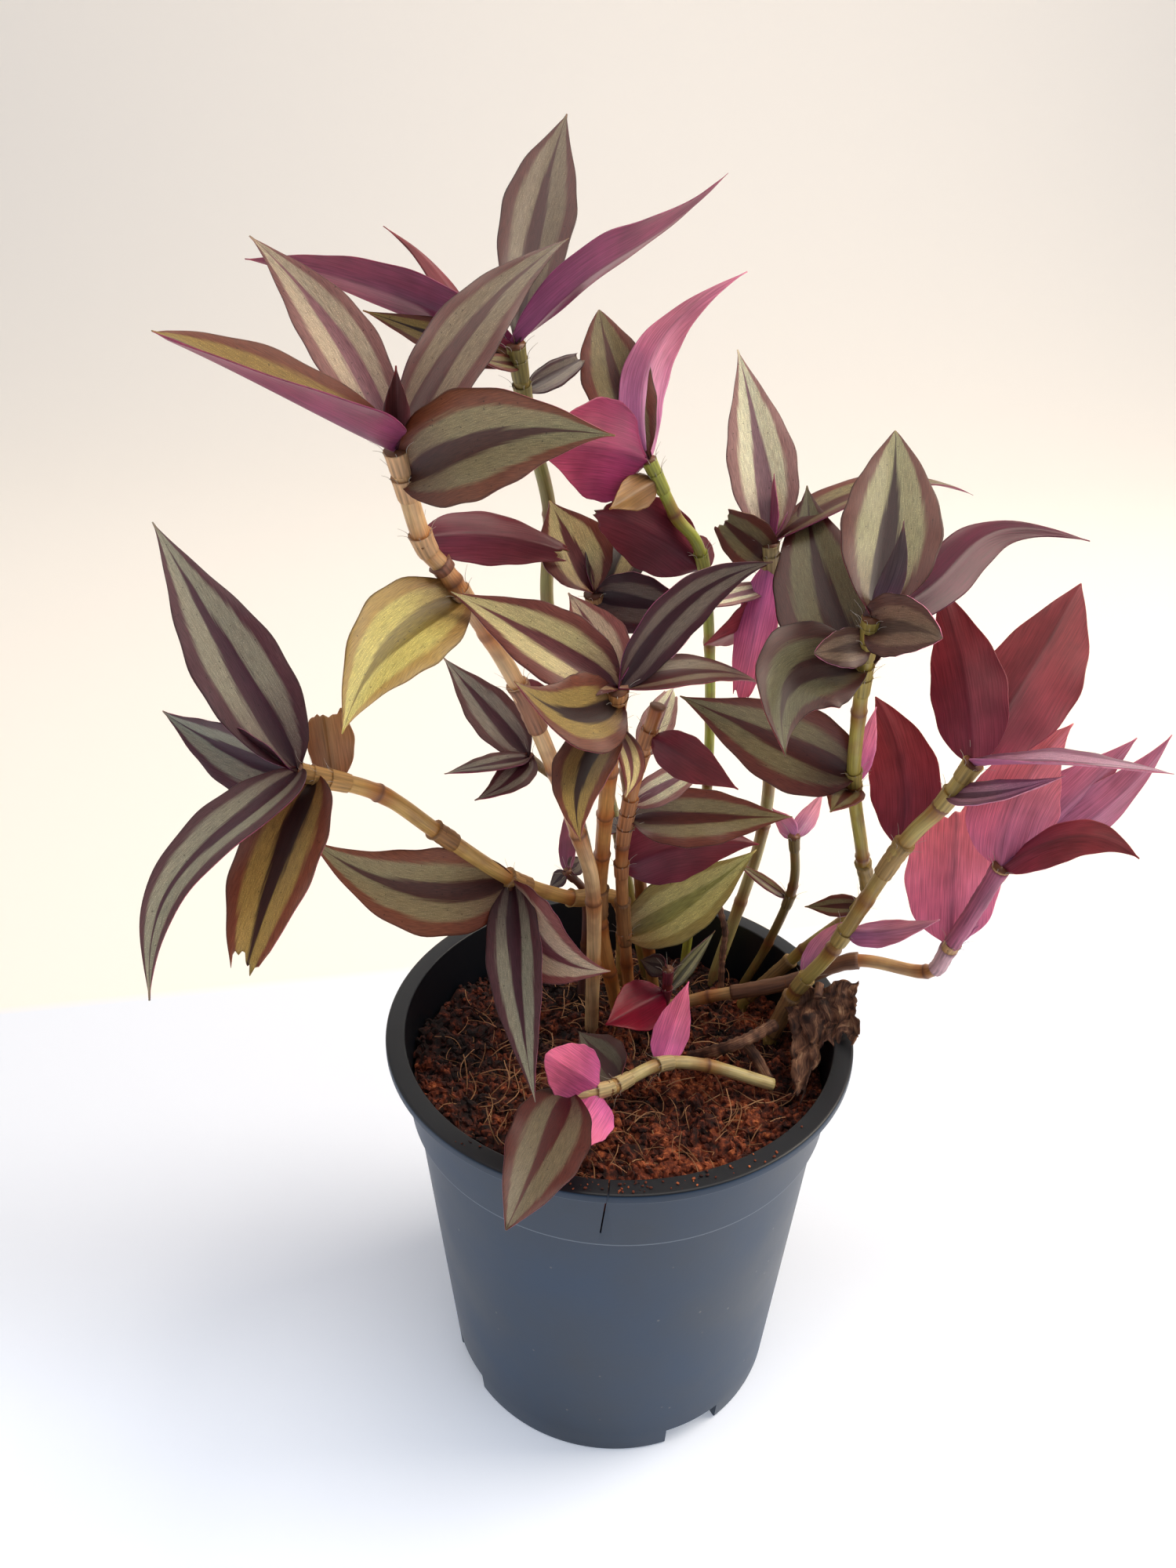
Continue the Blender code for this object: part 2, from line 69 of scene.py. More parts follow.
def add_node(tree, kind, settings=None, inputs=None):
    """Adds a node. An input is a value, another node's socket, or a node for its first output."""
    node = tree.nodes.new(kind)
    for name, value in (settings or {}).items():
        setattr(node, name, value)
    for key, value in (inputs or {}).items():
        if isinstance(value, bpy.types.Node):
            value = value.outputs[0]
        if isinstance(value, bpy.types.NodeSocket):
            tree.links.new(value, node.inputs[key])
        else:
            node.inputs[key].default_value = value
    return node


def new_material(name):
    """A material holding one Principled shader: (material, tree, shader)."""
    material = bpy.data.materials.new(name)
    material.use_nodes = True
    tree = material.node_tree
    return material, tree, tree.nodes["Principled BSDF"]


# %% [markdown]
# ## The plan of the plant
# A tradescantia stem is a chain of joints, and a leaf clasps the stem at a joint. Each shoot is
# given as a stem radius and the joints it passes through, then its leaves. A leaf starts at a
# station (2.5 is half way from joint 2 to joint 3), points along a heading and a rise in degrees,
# has a length and a width in mm, and is rolled about its midrib. The words say how the blade is
# bent and how its two faces look. All of it matches the frame, so that each finer piece keeps
# its solid's form.

# %% Shoots
STEMS = {
    "stem_left_arch": (2.1, "c99f58", [
        (2, 38, 96), (0, 25, 130), (-13, 19, 135), (-28, 5, 150),
        (-43, -6, 169), (-55, -14, 184), (-70, -22, 193)]),
    "stem_upper_left": (2.1, "dcb480", [
        (-7, 13, 96), (-7, 4, 144), (-11, 0, 166), (-23, -8, 205),
        (-36, -16, 233), (-41, -19, 242), (-44, -26, 261)]),
    "stem_front": (2.1, "bd8548", [
        (1, 16, 96), (-5, 13, 131), (-5, 7, 156), (-4, -10, 188), (-3, -24, 214)]),
    "stem_middle": (1.9, "9a7240", [
        (11, 29, 96), (4, 25, 148), (-2, 15, 194), (-8, 2, 225)]),
    "stem_top": (1.75, "8a8244", [
        (9, 39, 96), (-4, 33, 162), (-18, 24, 209), (-18, 21, 237),
        (-22, 13, 258), (-24, 5, 275)]),
    "stem_top_right": (1.45, "a8b048", [
        (20, 38, 96), (23, 34, 162), (17, 12, 225), (9, 7, 241), (3, 4, 253)]),
    "stem_pale": (1.9, "a89a62", [
        (29, 37, 96), (40, 40, 146), (35, 22, 200), (31, 14, 233)]),
    "stem_right_front": (1.75, "a89848", [
        (36, 25, 96), (51, 22, 117), (63, 14, 138), (59, 6, 157),
        (52, -4, 182), (49, -12, 204), (47, -20, 228)]),
    "stem_right_arch": (2.1, "b8a258", [
        (42, 10, 96), (47, 7, 115), (54, 2, 132), (64, -8, 168),
        (70, -12, 181), (74, -16, 194)]),
    "stem_far_right": (1.9, "c8a068", [
        (15, 23, 96), (26, 20, 102), (46, 15, 111), (63, 13, 120),
        (80, 6, 122), (82, -2, 136), (88, -8, 163)]),
    "stem_thin_back": (1.4, "7c6a38", [
        (37, 33, 96), (43, 31, 113), (47, 26, 135), (45, 22, 153)]),
    "stem_low_centre": (1.8, "b87f4c", [
        (4, 22, 96), (1, 15, 132), (0, 8, 158), (3, 5, 181), (7, 3, 198)]),
    "stem_small_left": (1.3, "7c6a44", [
        (-6, 39, 96), (-8, 36, 136), (-14, 20, 166), (-23, 8, 182)]),
    "stem_small_purple": (1.2, "6a4a44", [
        (-10, 29, 96), (-9, 28, 128), (-14, 21, 142)]),
    "sprout_low": (1.4, "8a3a44", [
        (12, 14, 96), (13, 11, 111), (13, 10, 119)]),
    "loose_cutting": (1.8, "dccb8c", [
        (39, -14, 101), (22, -14, 107), (10, -17, 110), (-3, -28, 112), (-13, -32, 114)]),
}

LEAVES = {
    "stem_left_arch": [
        (6, 135, 41, 66, 21, -15, "silver purple", {}),
        (6, 160, 15, 34, 18, -85, "silver magenta", {"sway": 0.05, "fold": 32}),
        (6, -100, -8, 66, 15, 0, "silver purple", {"bow": 0.10, "sway": -0.05, "hook": 0.04}),
        (5.8, -93, -15, 62, 19, 5, "bronze burgundy", {"sway": -0.03, "cut": 0.8, "fold": 18}),
        (5.6, 107, 36, 28, 12, 155, "brown tan", {"cut": 0.6, "fold": 25}),
        (3, -150, 28, 56, 23, -70, "olive purple", {"sway": 0.12}),
        (3, -50, -9, 38, 22, 55, "rosy magenta", {"sway": -0.18, "fold": 30}),
        (3, -82, -20, 60, 15, 20, "silver magenta", {"sway": -0.02}),
    ],
    "stem_upper_left": [
        (6, 130, 33, 60, 14, -30, "sunlit purple", {"sway": -0.05, "widest": 0.42}),
        (6, 55, 32, 62, 14, 60, "tawny purple", {"sway": 0.06}),
        (6, -110, 24, 66, 18, -22, "bronze magenta",
         {"sway": -0.02, "hook": 0.04, "fold": 52, "twist": -20}),
        (5.7, -43, 17, 54, 20, 90, "olive burgundy", {"sway": 0.07}),
        (6, -76, 60, 19, 5.5, 0, "dark dusk", {"lobe": 0.5}),
        (5.1, 38, -17, 44, 12, -120, "brown wine", {"sway": -0.06, "cut": 0.8}),
        (3.9, -111, -11, 48, 19, -40, "gold tan", {"sway": -0.09}),
        (3.1, 55, -23, 14, 6, -100, "brown wine", {"cut": 0.7}),
    ],
    "stem_front": [
        (4, 176, 30, 38, 17, -50, "gilded purple", {"sway": -0.02}),
        (4, 112, 22, 30, 14, -30, "rosy magenta", {"sway": -0.03}),
        (4, 38, 24, 46, 13, 80, "dark magenta", {"sway": 0.12}),
        (4, 43, 25, 34, 9, -105, "dark mauve", {}),
        (4, 35, -11, 40, 11, 20, "tawny burgundy", {"bow": 0.10}),
        (3.9, -135, 24, 30, 18, -55, "bronze burgundy", {"sway": 0.16}),
        (3.6, -100, -9, 38, 14, 5, "bronze burgundy", {"sway": -0.09}),
        (3.6, -85, -9, 24, 7, -20, "gilded burgundy", {"sway": 0.10}),
    ],
    "stem_middle": [
        (3, 139, 54, 22, 18, -25, "gilded purple", {"widest": 0.44}),
        (3, 62, 32, 30, 15, 40, "tiger purple", {}),
        (3, -10, -5, 23, 15, 90, "dark purple", {}),
        (3, 90, 25, 14, 5, 180, "dark magenta", {}),
    ],
    "stem_top": [
        (5, 79, 41, 63, 16.5, 20, "tawny purple", {"sway": 0.02, "widest": 0.5}),
        (5, 38, 29, 63, 15, -60, "brown magenta",
         {"sway": -0.02, "hook": -0.03, "twist": 25}),
        (5, 141, 29, 42, 6, 175, "tawny burgundy", {"sway": -0.02, "hook": -0.04}),
        (5, 152, 11, 70, 12, 65, "brown purple", {"sway": 0.05}),
        (4.8, 160, 14, 36, 9, -55, "bronze burgundy", {}),
        (4.8, -124, 12, 14, 4, -60, "brown wine", {}),
        (4.5, 50, 14, 25, 6, 65, "dark slate", {"cut": 0.72}),
    ],
    "stem_top_right": [
        (4, 107, 35, 44, 16, -15, "brown burgundy", {"sway": 0.03, "widest": 0.48, "taper": 0.9}),
        (4, 60, 36, 53, 11, -155, "brown rose", {"sway": -0.19, "tip": -0.3}),
        (4, -136, 13, 34, 22, 95, "brown cerise", {"sway": 0.04, "widest": 0.32, "lobe": 0.45}),
        (3.7, -125, -8, 18, 8, 125, "gold tan", {}),
        (2.2, -150, 29, 38, 17, 90, "brown wine", {"sway": 0.06, "cut": 0.8}),
        (2.2, 95, 36, 13, 7, 160, "brown wine", {"cut": 0.7}),
    ],
    "stem_pale": [
        (3, 100, 46, 50, 17, -10, "pale purple", {"sway": -0.02}),
        (3, 72, 37, 24, 8, -30, "pale magenta", {}),
        (3, 84, 60, 16, 5, 110, "pale magenta", {}),
        (3, 32, 3, 64, 12, 5, "brown purple", {"bow": 0.12}),
        (2.9, -150, 38, 24, 12, -100, "brown tan", {"cut": 0.72}),
        (2.9, -111, -55, 40, 10, 170, "rosy pink", {"cut": 0.8}),
        (2.7, -135, 4, 32, 6, -30, "pale purple", {}),
        (2.5, -131, -1, 26, 12, 75, "tawny burgundy", {}),
    ],
    "stem_right_front": [
        (6, 76, 40, 46, 22, 10, "fresh burgundy", {"sway": -0.03, "widest": 0.42, "taper": 0.9}),
        (5.35, 101, 36, 52, 25, -20, "deep burgundy", {"sway": 0.05, "lobe": 0.45}),
        (6, 30, 7, 62, 12, -150, "brown mulberry", {"sway": -0.12, "hook": 0.06, "widest": 0.42}),
        (6, 46, 68, 20, 5.5, -160, "dark slate", {"sway": 0.07}),
        (5.9, -58, 14, 19, 15, 75, "plain pink", {"taper": 0.7, "lobe": 0.6, "fold": 34, "sway": 0.08}),
        (5.5, -128, -14, 32, 22, -35, "deep burgundy", {"sway": -0.28}),
        (4.2, -174, 27, 46, 21, -75, "brown burgundy", {}),
        (4, -120, 6, 16, 9, -5, "brown wine", {}),
        (4.1, 67, 31, 22, 6, 160, "rosy pink", {}),
        (2, 153, -18, 16, 7, -40, "brown mauve", {}),
        (5.8, -150, 4, 14, 9, -60, "plain pink", {"taper": 0.7}),
    ],
    "stem_right_arch": [
        (5, 96, 41, 45, 18, 145, "brown burgundy", {"sway": 0.04}),
        (5, 49, 33, 54, 24, -175, "olive burgundy", {"sway": 0.01, "widest": 0.44, "taper": 1.0}),
        (5, -69, 24, 54, 14, 0, "mauve mauve", {"bow": 0.02}),
        (4.3, -63, 33, 34, 8, 35, "mauve mauve", {"sway": -0.06}),
        (3, 97, 45, 38, 18, 150, "brown burgundy", {"sway": 0.09, "widest": 0.42, "taper": 1.0}),
        (2.2, -35, 30, 26, 8, -145, "rosy mauve", {"sway": 0.05}),
        (1.3, 30, 48, 20, 8, -165, "rosy mauve", {"sway": -0.10}),
    ],
    "stem_far_right": [
        (5, 88, 65, 50, 25, 170, "brown raspberry", {"cut": 0.68, "widest": 0.33}),
        (5, 41, 34, 26, 7, 175, "brown rose", {"sway": -0.04}),
        (6, 34, 64, 37, 22, -150, "blush raspberry", {"sway": -0.10}),
        (6, 24, 39, 44, 18, -115, "blush rose", {"fold": 30}),
        (6, 18, 36, 50, 16, -110, "blush rose", {"sway": 0.08, "fold": 30}),
        (6, -63, 33, 40, 12, -130, "brown burgundy", {"sway": -0.17}),
    ],
    "stem_thin_back": [
        (3, 56, 18, 18, 6, -175, "mauve mauve", {}),
        (3, 116, 17, 11, 6, 120, "mauve mauve", {}),
        (1.8, 154, 26, 18, 4, -25, "brown mauve", {}),
    ],
    "stem_low_centre": [
        (1.7, 19, 0, 38, 19, -125, "olive wine", {"sway": -0.08}),
        (0.8, 13, 33, 42, 19, 50, "leafy tan", {"sway": -0.03}),
        (2.2, 111, -18, 16, 8, -25, "dark wine", {"cut": 0.8}),
        (3.2, 69, 19, 30, 9, 20, "pale purple", {"cut": 0.8}),
        (2.4, 15, -7, 44, 16, 60, "brown burgundy", {}),
        (3.6, -59, 3, 34, 11, -125, "brown wine", {}),
        (2.6, 21, 22, 24, 9, 55, "pale purple", {"cut": 0.7}),
    ],
    "stem_small_left": [
        (3, 138, 31, 34, 13, -30, "slaty purple", {}),
        (3, -126, 15, 30, 7, -15, "slaty purple", {}),
        (3, -121, -3, 22, 9, -15, "slaty purple", {"sway": 0.08}),
    ],
    "stem_small_purple": [
        (2, 92, 15, 24, 5, 170, "dark purple", {}),
        (2, 163, -50, 8, 5, -60, "dark purple", {}),
        (2, 66, -5, 10, 6, 45, "dark purple", {}),
    ],
    "sprout_low": [
        (1, -139, 0, 22, 15, 140, "dark crimson", {}),
        (2, 131, -15, 11, 7, -55, "dark wine", {}),
        (1, 51, 19, 24, 5, 50, "green purple", {}),
    ],
    "loose_cutting": [
        (2, 69, 24, 24, 10, -175, "rosy candy", {"sway": -0.01}),
        (3.2, -140, 50, 26, 15, 100, "rosy candy", {"taper": 0.7, "lobe": 0.6}),
        (2.8, 114, -9, 26, 14, -30, "ruddy wine", {}),
        (4, -105, 6, 46, 19, -20, "ruddy burgundy", {"bow": 0.08, "widest": 0.46, "taper": 0.9}),
        (3.3, -113, 5, 23, 16, 165, "rosy candy", {"taper": 0.8}),
    ],
}
print(len(STEMS), "shoots with", sum(map(len, LEAVES.values())), "leaves")

# %% [markdown]
# The upper face of a leaf has two pale bands on a darker field. Young leaves are silver on purple
# brown, old ones turn gold and olive with orange margins. The underside holds the plant's red
# pigment. Each look lists the colours of band, field and centre stripe; each underside has one.

# %% Leaf colours
UPPER = {
    "silver": ("9c9882", "6a4c52", "5a3446"),
    "slaty": ("948c7c", "785f58", "623e48"),
    # Painted light: the sunlit look is a paler copy of a leaf's colours for a leaf in the light.
    "sunlit": ("c4b092", "a6887a", "b49090"),
    "olive": ("a4966a", "a2744a", "6e4e3a"),
    "leafy": ("dcd484", "dcc870", "d8d070"),
    "gold": ("c6ba68", "cca854", "a48e36"),
    "bronze": ("a08648", "8a5c3e", "3a2018"),
    "dark": ("6e6054", "4e3038", "42222c"),
    "deep": ("706a4a", "66463a", "4c3028"),
    "tiger": ("b4aa78", "4a3230", "362022"),
    "gilded": ("d4c48a", "926250", "8a5a56"),
    "rosy": ("e0c8a8", "b68478", "9c6a6e"),
    "brown": ("82744e", "80503a", "643422"),
    "tawny": ("80705a", "6c463e", "5c3432"),
    "pale": ("f0ecc8", "c8b6a6", "b8a6a8"),
    "fresh": ("9e9870", "7c5644", "3e2424"),
    "ruddy": ("766a52", "6a3c30", "602c28"),
    "green": ("8e8a60", "6e6a4c", "5a5a3e"),
    "mauve": ("cc9eb4", "b67c98", "a06c88"),
    "blush": ("d08eaa", "c87090", "b8668a"),
    "plain": ("987c64", "8a6456", "907260"),
}
UNDER = {
    "purple": "8a425c", "magenta": "8e4466", "burgundy": "923e48", "wine": "78303c",
    "mauve": "cc8ca8", "pink": "f08cb8", "crimson": "8c0c2e", "raspberry": "e88e9e",
    "tan": "9c7846", "slate": "6a5c60", "rose": "c67c9c", "cerise": "943658", "dusk": "5e3438",
    "mulberry": "5a1030", "candy": "ff84b4",
}
print(len(UPPER), "upper faces,", len(UNDER), "undersides")

# %% [markdown]
# ## Meshes from rings
# A blade, a stem and a sheath are each a row of closed rings, so one function lofts them all. It
# gives every corner two flat coordinates. One runs along and across as shares, for the stripes.
# The other is in millimetres, for the fibres, so that long and short leaves have the same grain.

# %% Loft and build


def unit(vectors):
    """Vectors scaled to length one."""
    return vectors / np.linalg.norm(vectors, axis=-1, keepdims=True)


def loft(rings, shares, sizes, slots, tints):
    """A closed skin over (rows, columns, 3) rings. Shares and sizes have one column more, and
    slots holds each column's material."""
    rows, columns = rings.shape[:2]
    index = np.arange(rows * columns).reshape(rows, columns)
    after = np.roll(index, -1, axis=1)
    sides = np.stack([index[:-1], index[1:], after[1:], after[:-1]], axis=-1)

    def corners(values):
        here, there = values[:, :-1], values[:, 1:]
        return np.stack([here[:-1], here[1:], there[1:], there[:-1]], axis=2).reshape(-1, 4, 2)

    half = columns // 2 - 1
    k = np.arange(half)
    start = np.stack([k, k + 1, columns - 2 - k, columns - 1 - k], axis=-1)
    finish = start[:, ::-1]
    last = (rows - 1) * columns
    return {
        "points": rings.reshape(-1, 3),
        "faces": np.vstack([sides.reshape(-1, 4), start, finish + last]),
        "shares": np.vstack([corners(shares), shares[0][start], shares[-1][finish]]),
        "sizes": np.vstack([corners(sizes), sizes[0][start], sizes[-1][finish]]),
        "slots": np.concatenate([np.tile(slots, rows - 1), np.full(2 * half, slots[0])]),
        "tints": tints,
    }


def join_patches(name, patches, materials):
    """One object from lofted patches, with their coordinates and colours."""
    starts = np.cumsum([0] + [len(patch["points"]) for patch in patches])
    points = np.vstack([patch["points"] for patch in patches]) * MM
    faces = np.vstack([patch["faces"] + n for patch, n in zip(patches, starts)])
    mesh = bpy.data.meshes.new(name)
    mesh.from_pydata(points.tolist(), [], faces.tolist())
    mesh.polygons.foreach_set("use_smooth", np.ones(len(faces), bool))
    slots = np.concatenate([patch["slots"] for patch in patches]).astype(np.int32)
    mesh.polygons.foreach_set("material_index", slots)
    for layer, key in (("blade", "shares"), ("grain", "sizes")):
        values = np.vstack([patch[key] for patch in patches]).astype(np.float32)
        mesh.uv_layers.new(name=layer).data.foreach_set("uv", values.ravel())
    for tint in patches[0]["tints"]:
        rows = [np.broadcast_to(p["tints"][tint], (len(p["points"]), 4)) for p in patches]
        colour = mesh.attributes.new(tint, "FLOAT_COLOR", "POINT")
        colour.data.foreach_set("color", np.vstack(rows).astype(np.float32).ravel())
    for material in materials:
        mesh.materials.append(material)
    mesh.validate()
    obj = bpy.data.objects.new(name, mesh)
    bpy.context.scene.collection.objects.link(obj)
    return obj


# %% [markdown]
# ## Blades
# A blade has a sheathing base, is widest near a third of its length and runs out to a long point.
# It is folded along the midrib like a shallow boat, and each half is slightly convex. Here it is
# a closed sheet half a millimetre thick at the midrib that thins towards the margin. Torn leaves
# end in a ragged edge. The margins wave a little, each leaf in its own way.

# %% Leaf blades
FOLD, WIDEST, TAPER, BASE_TAPER = 22.0, 0.36, 1.2, 0.8
SHEATH_HALF, LEAF_SETBACK = 1.9, 0.2


def leaf_frame(heading, rise, roll):
    """Unit vectors along the leaf, across it, and out of its upper face."""
    h, r, turn = np.radians([heading, rise, roll])
    along = np.array([np.cos(h) * np.cos(r), np.sin(h) * np.cos(r), np.sin(r)])
    out = np.array([-np.cos(h) * np.sin(r), -np.sin(h) * np.sin(r), np.cos(r)])
    across = np.cross(out, along)
    rolled = across * np.cos(turn) + out * np.sin(turn)
    return along, rolled, out * np.cos(turn) - across * np.sin(turn)


def station(points, place, order):
    """The point of the stem at a leaf's station. Each later leaf roots a little lower."""
    k = min(int(place), len(points) - 2)
    low, high = np.array(points[k], float), np.array(points[k + 1], float)
    return low + (high - low) * (place - k) - unit(high - low) * LEAF_SETBACK * (order + 1)


def half_width(t, width, widest, taper, lobe=BASE_TAPER):
    """Half the blade's width at shares t of its length: round at the base, pointed at the tip."""
    power = math.log(0.5) / math.log(widest)
    blade = np.clip(np.sin(np.pi * np.clip(t, 0, 1) ** power), 0, 1)
    blade = blade ** np.where(t < widest, lobe, taper)
    sheath = SHEATH_HALF * np.clip(1 - t / 0.12, 0, 1)
    return np.maximum(np.maximum(width / 2 * blade, sheath), 0.15)


def blade_points(base, leaf, t, x, seed):
    """(middle of the sheet, direction out of it, half width) at shares t along and x across."""
    _, heading, rise, length, width, roll, _, more = leaf
    along, across, out = leaf_frame(heading, rise, roll)

    def midrib(s):
        hump = 4 * s * (1 - s)
        side = more.get("sway", 0) * hump + more.get("hook", 0) * np.sin(2 * np.pi * s)
        rise = more.get("bow", 0) * hump + more.get("tip", 0) * np.clip(s - 0.55, 0, 1) ** 2
        return base + length * (np.outer(s, along) + np.outer(rise, out) + np.outer(side, across))

    tangent = unit(midrib(t + 1e-3) - midrib(t - 1e-3))
    normal = unit(out - tangent * (tangent @ out)[:, None])
    side = np.cross(normal, tangent)
    twist = np.radians(more.get("twist", 0) * t)[:, None]
    normal, side = (normal * np.cos(twist) - side * np.sin(twist),
                    side * np.cos(twist) + normal * np.sin(twist))
    half = half_width(t, width, more.get("widest", WIDEST), more.get("taper", TAPER),
                      more.get("lobe", BASE_TAPER))
    fold = np.radians(more.get("fold", FOLD)) * (1.25 - 0.6 * t) + 0.7 * np.exp(-t / 0.045)
    lift = half * np.sin(fold) * (np.sqrt(x * x + 0.03) - math.sqrt(0.03))
    lift = lift - 0.09 * half * x**4
    waves = np.sin(t * (9 + 5 * seed % 4) + 6 * seed) + 0.6 * np.sin(t * 23 + x * 2 + 9 * seed)
    ruffle = more.get("ruffle", 0) * length * np.sin(18 * t)
    lift = lift + (0.035 * half * waves * np.sin(np.pi * np.clip(t, 0, 1)) + ruffle) * x * abs(x)
    lateral = half * np.cos(fold) * x * (1 + 0.02 * np.sin(t * 31 + 5 * seed) * x * x)
    return midrib(t) + lateral[:, None] * side + lift[:, None] * normal, normal, half


def blade_patch(base, leaf, seed, tints, faces=(0, 1)):
    """One blade as a closed sheet, with a material on its upper face and one underneath."""
    _, _, _, length, width, _, _, more = leaf
    rows = 9 + int(length * 0.5)
    if width >= 13:
        right = [0.05, 0.13, 0.25, 0.4, 0.55, 0.7, 0.82, 0.91, 0.97, 1]
    elif width >= 8:
        right = [0.08, 0.22, 0.42, 0.64, 0.82, 0.94, 1]
    else:
        right = [0.15, 0.45, 0.8, 1]
    x = np.array([-value for value in reversed(right)] + [0] + right)
    share = np.linspace(0, 1, rows + 1)
    cut = more.get("cut", 1.0)
    ragged = 0.05 * np.sin(3.4 * x + 7 * seed) + 0.018 * np.sin(14 * x + 3 * seed)
    t = cut * share[:, None] * (1 + (cut < 1) * ragged * share[:, None] ** 8)
    grid_x = np.broadcast_to(x, t.shape) if cut < 1 else np.tile(x, (rows + 1, 1))
    t = np.broadcast_to(t, grid_x.shape)
    middle, normal, half = blade_points(base, leaf, t.ravel(), grid_x.ravel(), seed)
    thick = (0.13 + 0.17 * np.exp(-((grid_x.ravel() * half) / 1.1) ** 2)) * np.minimum(1, half)
    shape = (*t.shape, 3)
    upper = (middle + normal * thick[:, None]).reshape(shape)
    lower = (middle - normal * thick[:, None]).reshape(shape)
    rings = np.concatenate([upper, lower[:, ::-1]], axis=1)
    both = np.concatenate([grid_x, grid_x[:, ::-1], grid_x[:, :1]], axis=1)
    along = np.concatenate([t, t[:, ::-1], t[:, :1]], axis=1)
    wide = half.reshape(t.shape)
    wide = np.concatenate([wide, wide[:, ::-1], wide[:, :1]], axis=1)
    shares = np.stack([along, both], axis=-1)
    sizes = np.stack([along * length + 97 * seed, both * wide + 31 * seed], axis=-1)
    count = len(x)
    slots = np.array([faces[0]] * (count - 1) + [faces[1]] * (count + 1))
    return loft(rings, shares, sizes, slots, tints)


# %% [markdown]
# ## Stems
# The stem is a fleshy cane: straight lengths between swollen joints, each joint ringed by the scar
# of a leaf base. Long lengths of the frame get joints of their own. Near a leaf the stem wears the
# leaf's sheath, a thin sleeve that widens upwards. At bare joints only papery scraps are left.

# %% Stems and sheaths
JOINT_SPACING = 21.0
STEM_SIDES = 14


def smooth_path(points, spacing):
    """Catmull-Rom places through the given points, about a spacing apart, and their stations."""
    knots = np.array(points, float)
    knots = np.vstack([2 * knots[0] - knots[1], knots, 2 * knots[-1] - knots[-2]])
    places, stations = [], []
    for k in range(len(points) - 1):
        a, b, c, d = knots[k:k + 4]
        steps = max(2, round(np.linalg.norm(c - b) / spacing))
        u = np.arange(steps)[:, None] / steps
        bend = (2 * a - 5 * b + 4 * c - d) * u**2 + (3 * b - a - 3 * c + d) * u**3
        places.append((2 * b + (c - a) * u + bend) / 2)
        stations.append(k + u[:, 0])
    places.append(knots[-2:-1])
    stations.append([len(points) - 1.0])
    return np.vstack(places), np.concatenate(stations)


def path_frames(places):
    """Tangents along a path and two directions across it that turn as little as they can."""
    tangents = unit(np.gradient(places, axis=0))
    first = np.cross(tangents[0], (0.3, 1.0, 0.1))
    across = [first / np.linalg.norm(first)]
    for tangent in tangents[1:]:
        turned = across[-1] - tangent * (across[-1] @ tangent)
        across.append(turned / np.linalg.norm(turned))
    across = np.array(across)
    return tangents, across, np.cross(across, tangents)


def tube_patch(places, radii, sides, slot, tints, lengthwise=None, ripple=0.0):
    """A round closed tube. The radii may vary along it, and a ripple makes it less round."""
    _, first, second = path_frames(places)
    turn = np.arange(sides) * 2 * np.pi / sides
    uneven = 1 + ripple * np.sin(3 * turn + 1)[None, :]
    reach = np.asarray(radii)[:, None] * uneven
    rings = places[:, None] + reach[..., None] * (
        np.cos(turn)[None, :, None] * first[:, None] + np.sin(turn)[None, :, None] * second[:, None])
    if lengthwise is None:
        steps = np.linalg.norm(np.diff(places, axis=0), axis=1)
        lengthwise = np.concatenate([[0], np.cumsum(steps)])
    around = np.arange(sides + 1) / sides
    shares = np.stack(np.broadcast_arrays(lengthwise[:, None], around[None, :]), axis=-1)
    sizes = shares * (1, 2 * np.pi * float(np.mean(radii)))
    return loft(rings, shares, sizes, np.full(sides, slot), tints)


def joint_stations(points):
    """Stations of a stem's joints: its given points, and more wherever they are far apart."""
    stations = []
    for k, (low, high) in enumerate(zip(points, points[1:])):
        count = max(1, round(math.dist(low, high) / JOINT_SPACING))
        stations += [k + (n + 1) / count for n in range(count)]
    return stations


def stem_patches(name, radius, points, tone, buried):
    """The cane with its swollen joints, as one tube."""
    places, stations = smooth_path(points, 0.9)
    steps = np.linalg.norm(np.diff(places, axis=0), axis=1)
    run = np.concatenate([[0], np.cumsum(steps)])
    joints = np.interp(joint_stations(points), stations, run)
    away = run[:, None] - joints[None, :]
    swell = np.exp(-(away / 0.7) ** 2).sum(axis=1) * 0.16
    collar = np.exp(-((away + 2.0) / 1.5) ** 2).sum(axis=1) * 0.07
    radii = radius * (0.90 + swell + collar)
    ring = np.clip(np.exp(-(away / 0.55) ** 2).sum(axis=1), 0, 1)
    near = np.clip(np.exp(-(away / 4.0) ** 2).sum(axis=1), 0, 1)
    if buried:
        places = np.vstack([places[0] - (0, 0, 13.0), places])
        radii = np.concatenate([radii[:1], radii])
        ring, near = np.concatenate([[0], ring]), np.concatenate([[0], near])
    colour = np.array(linear(tone))
    rings = len(places)
    tints = {
        "light": np.repeat(np.tile(colour, (rings, 1)), STEM_SIDES, axis=0),
        "dark": np.repeat(np.stack([ring, near, np.zeros(rings), np.ones(rings)], axis=-1),
                          STEM_SIDES, axis=0),
        "heart": colour, "below": colour,
    }
    return [tube_patch(places, radii, STEM_SIDES, 2, tints, ripple=0.025)], joints, run, places[-len(run):]


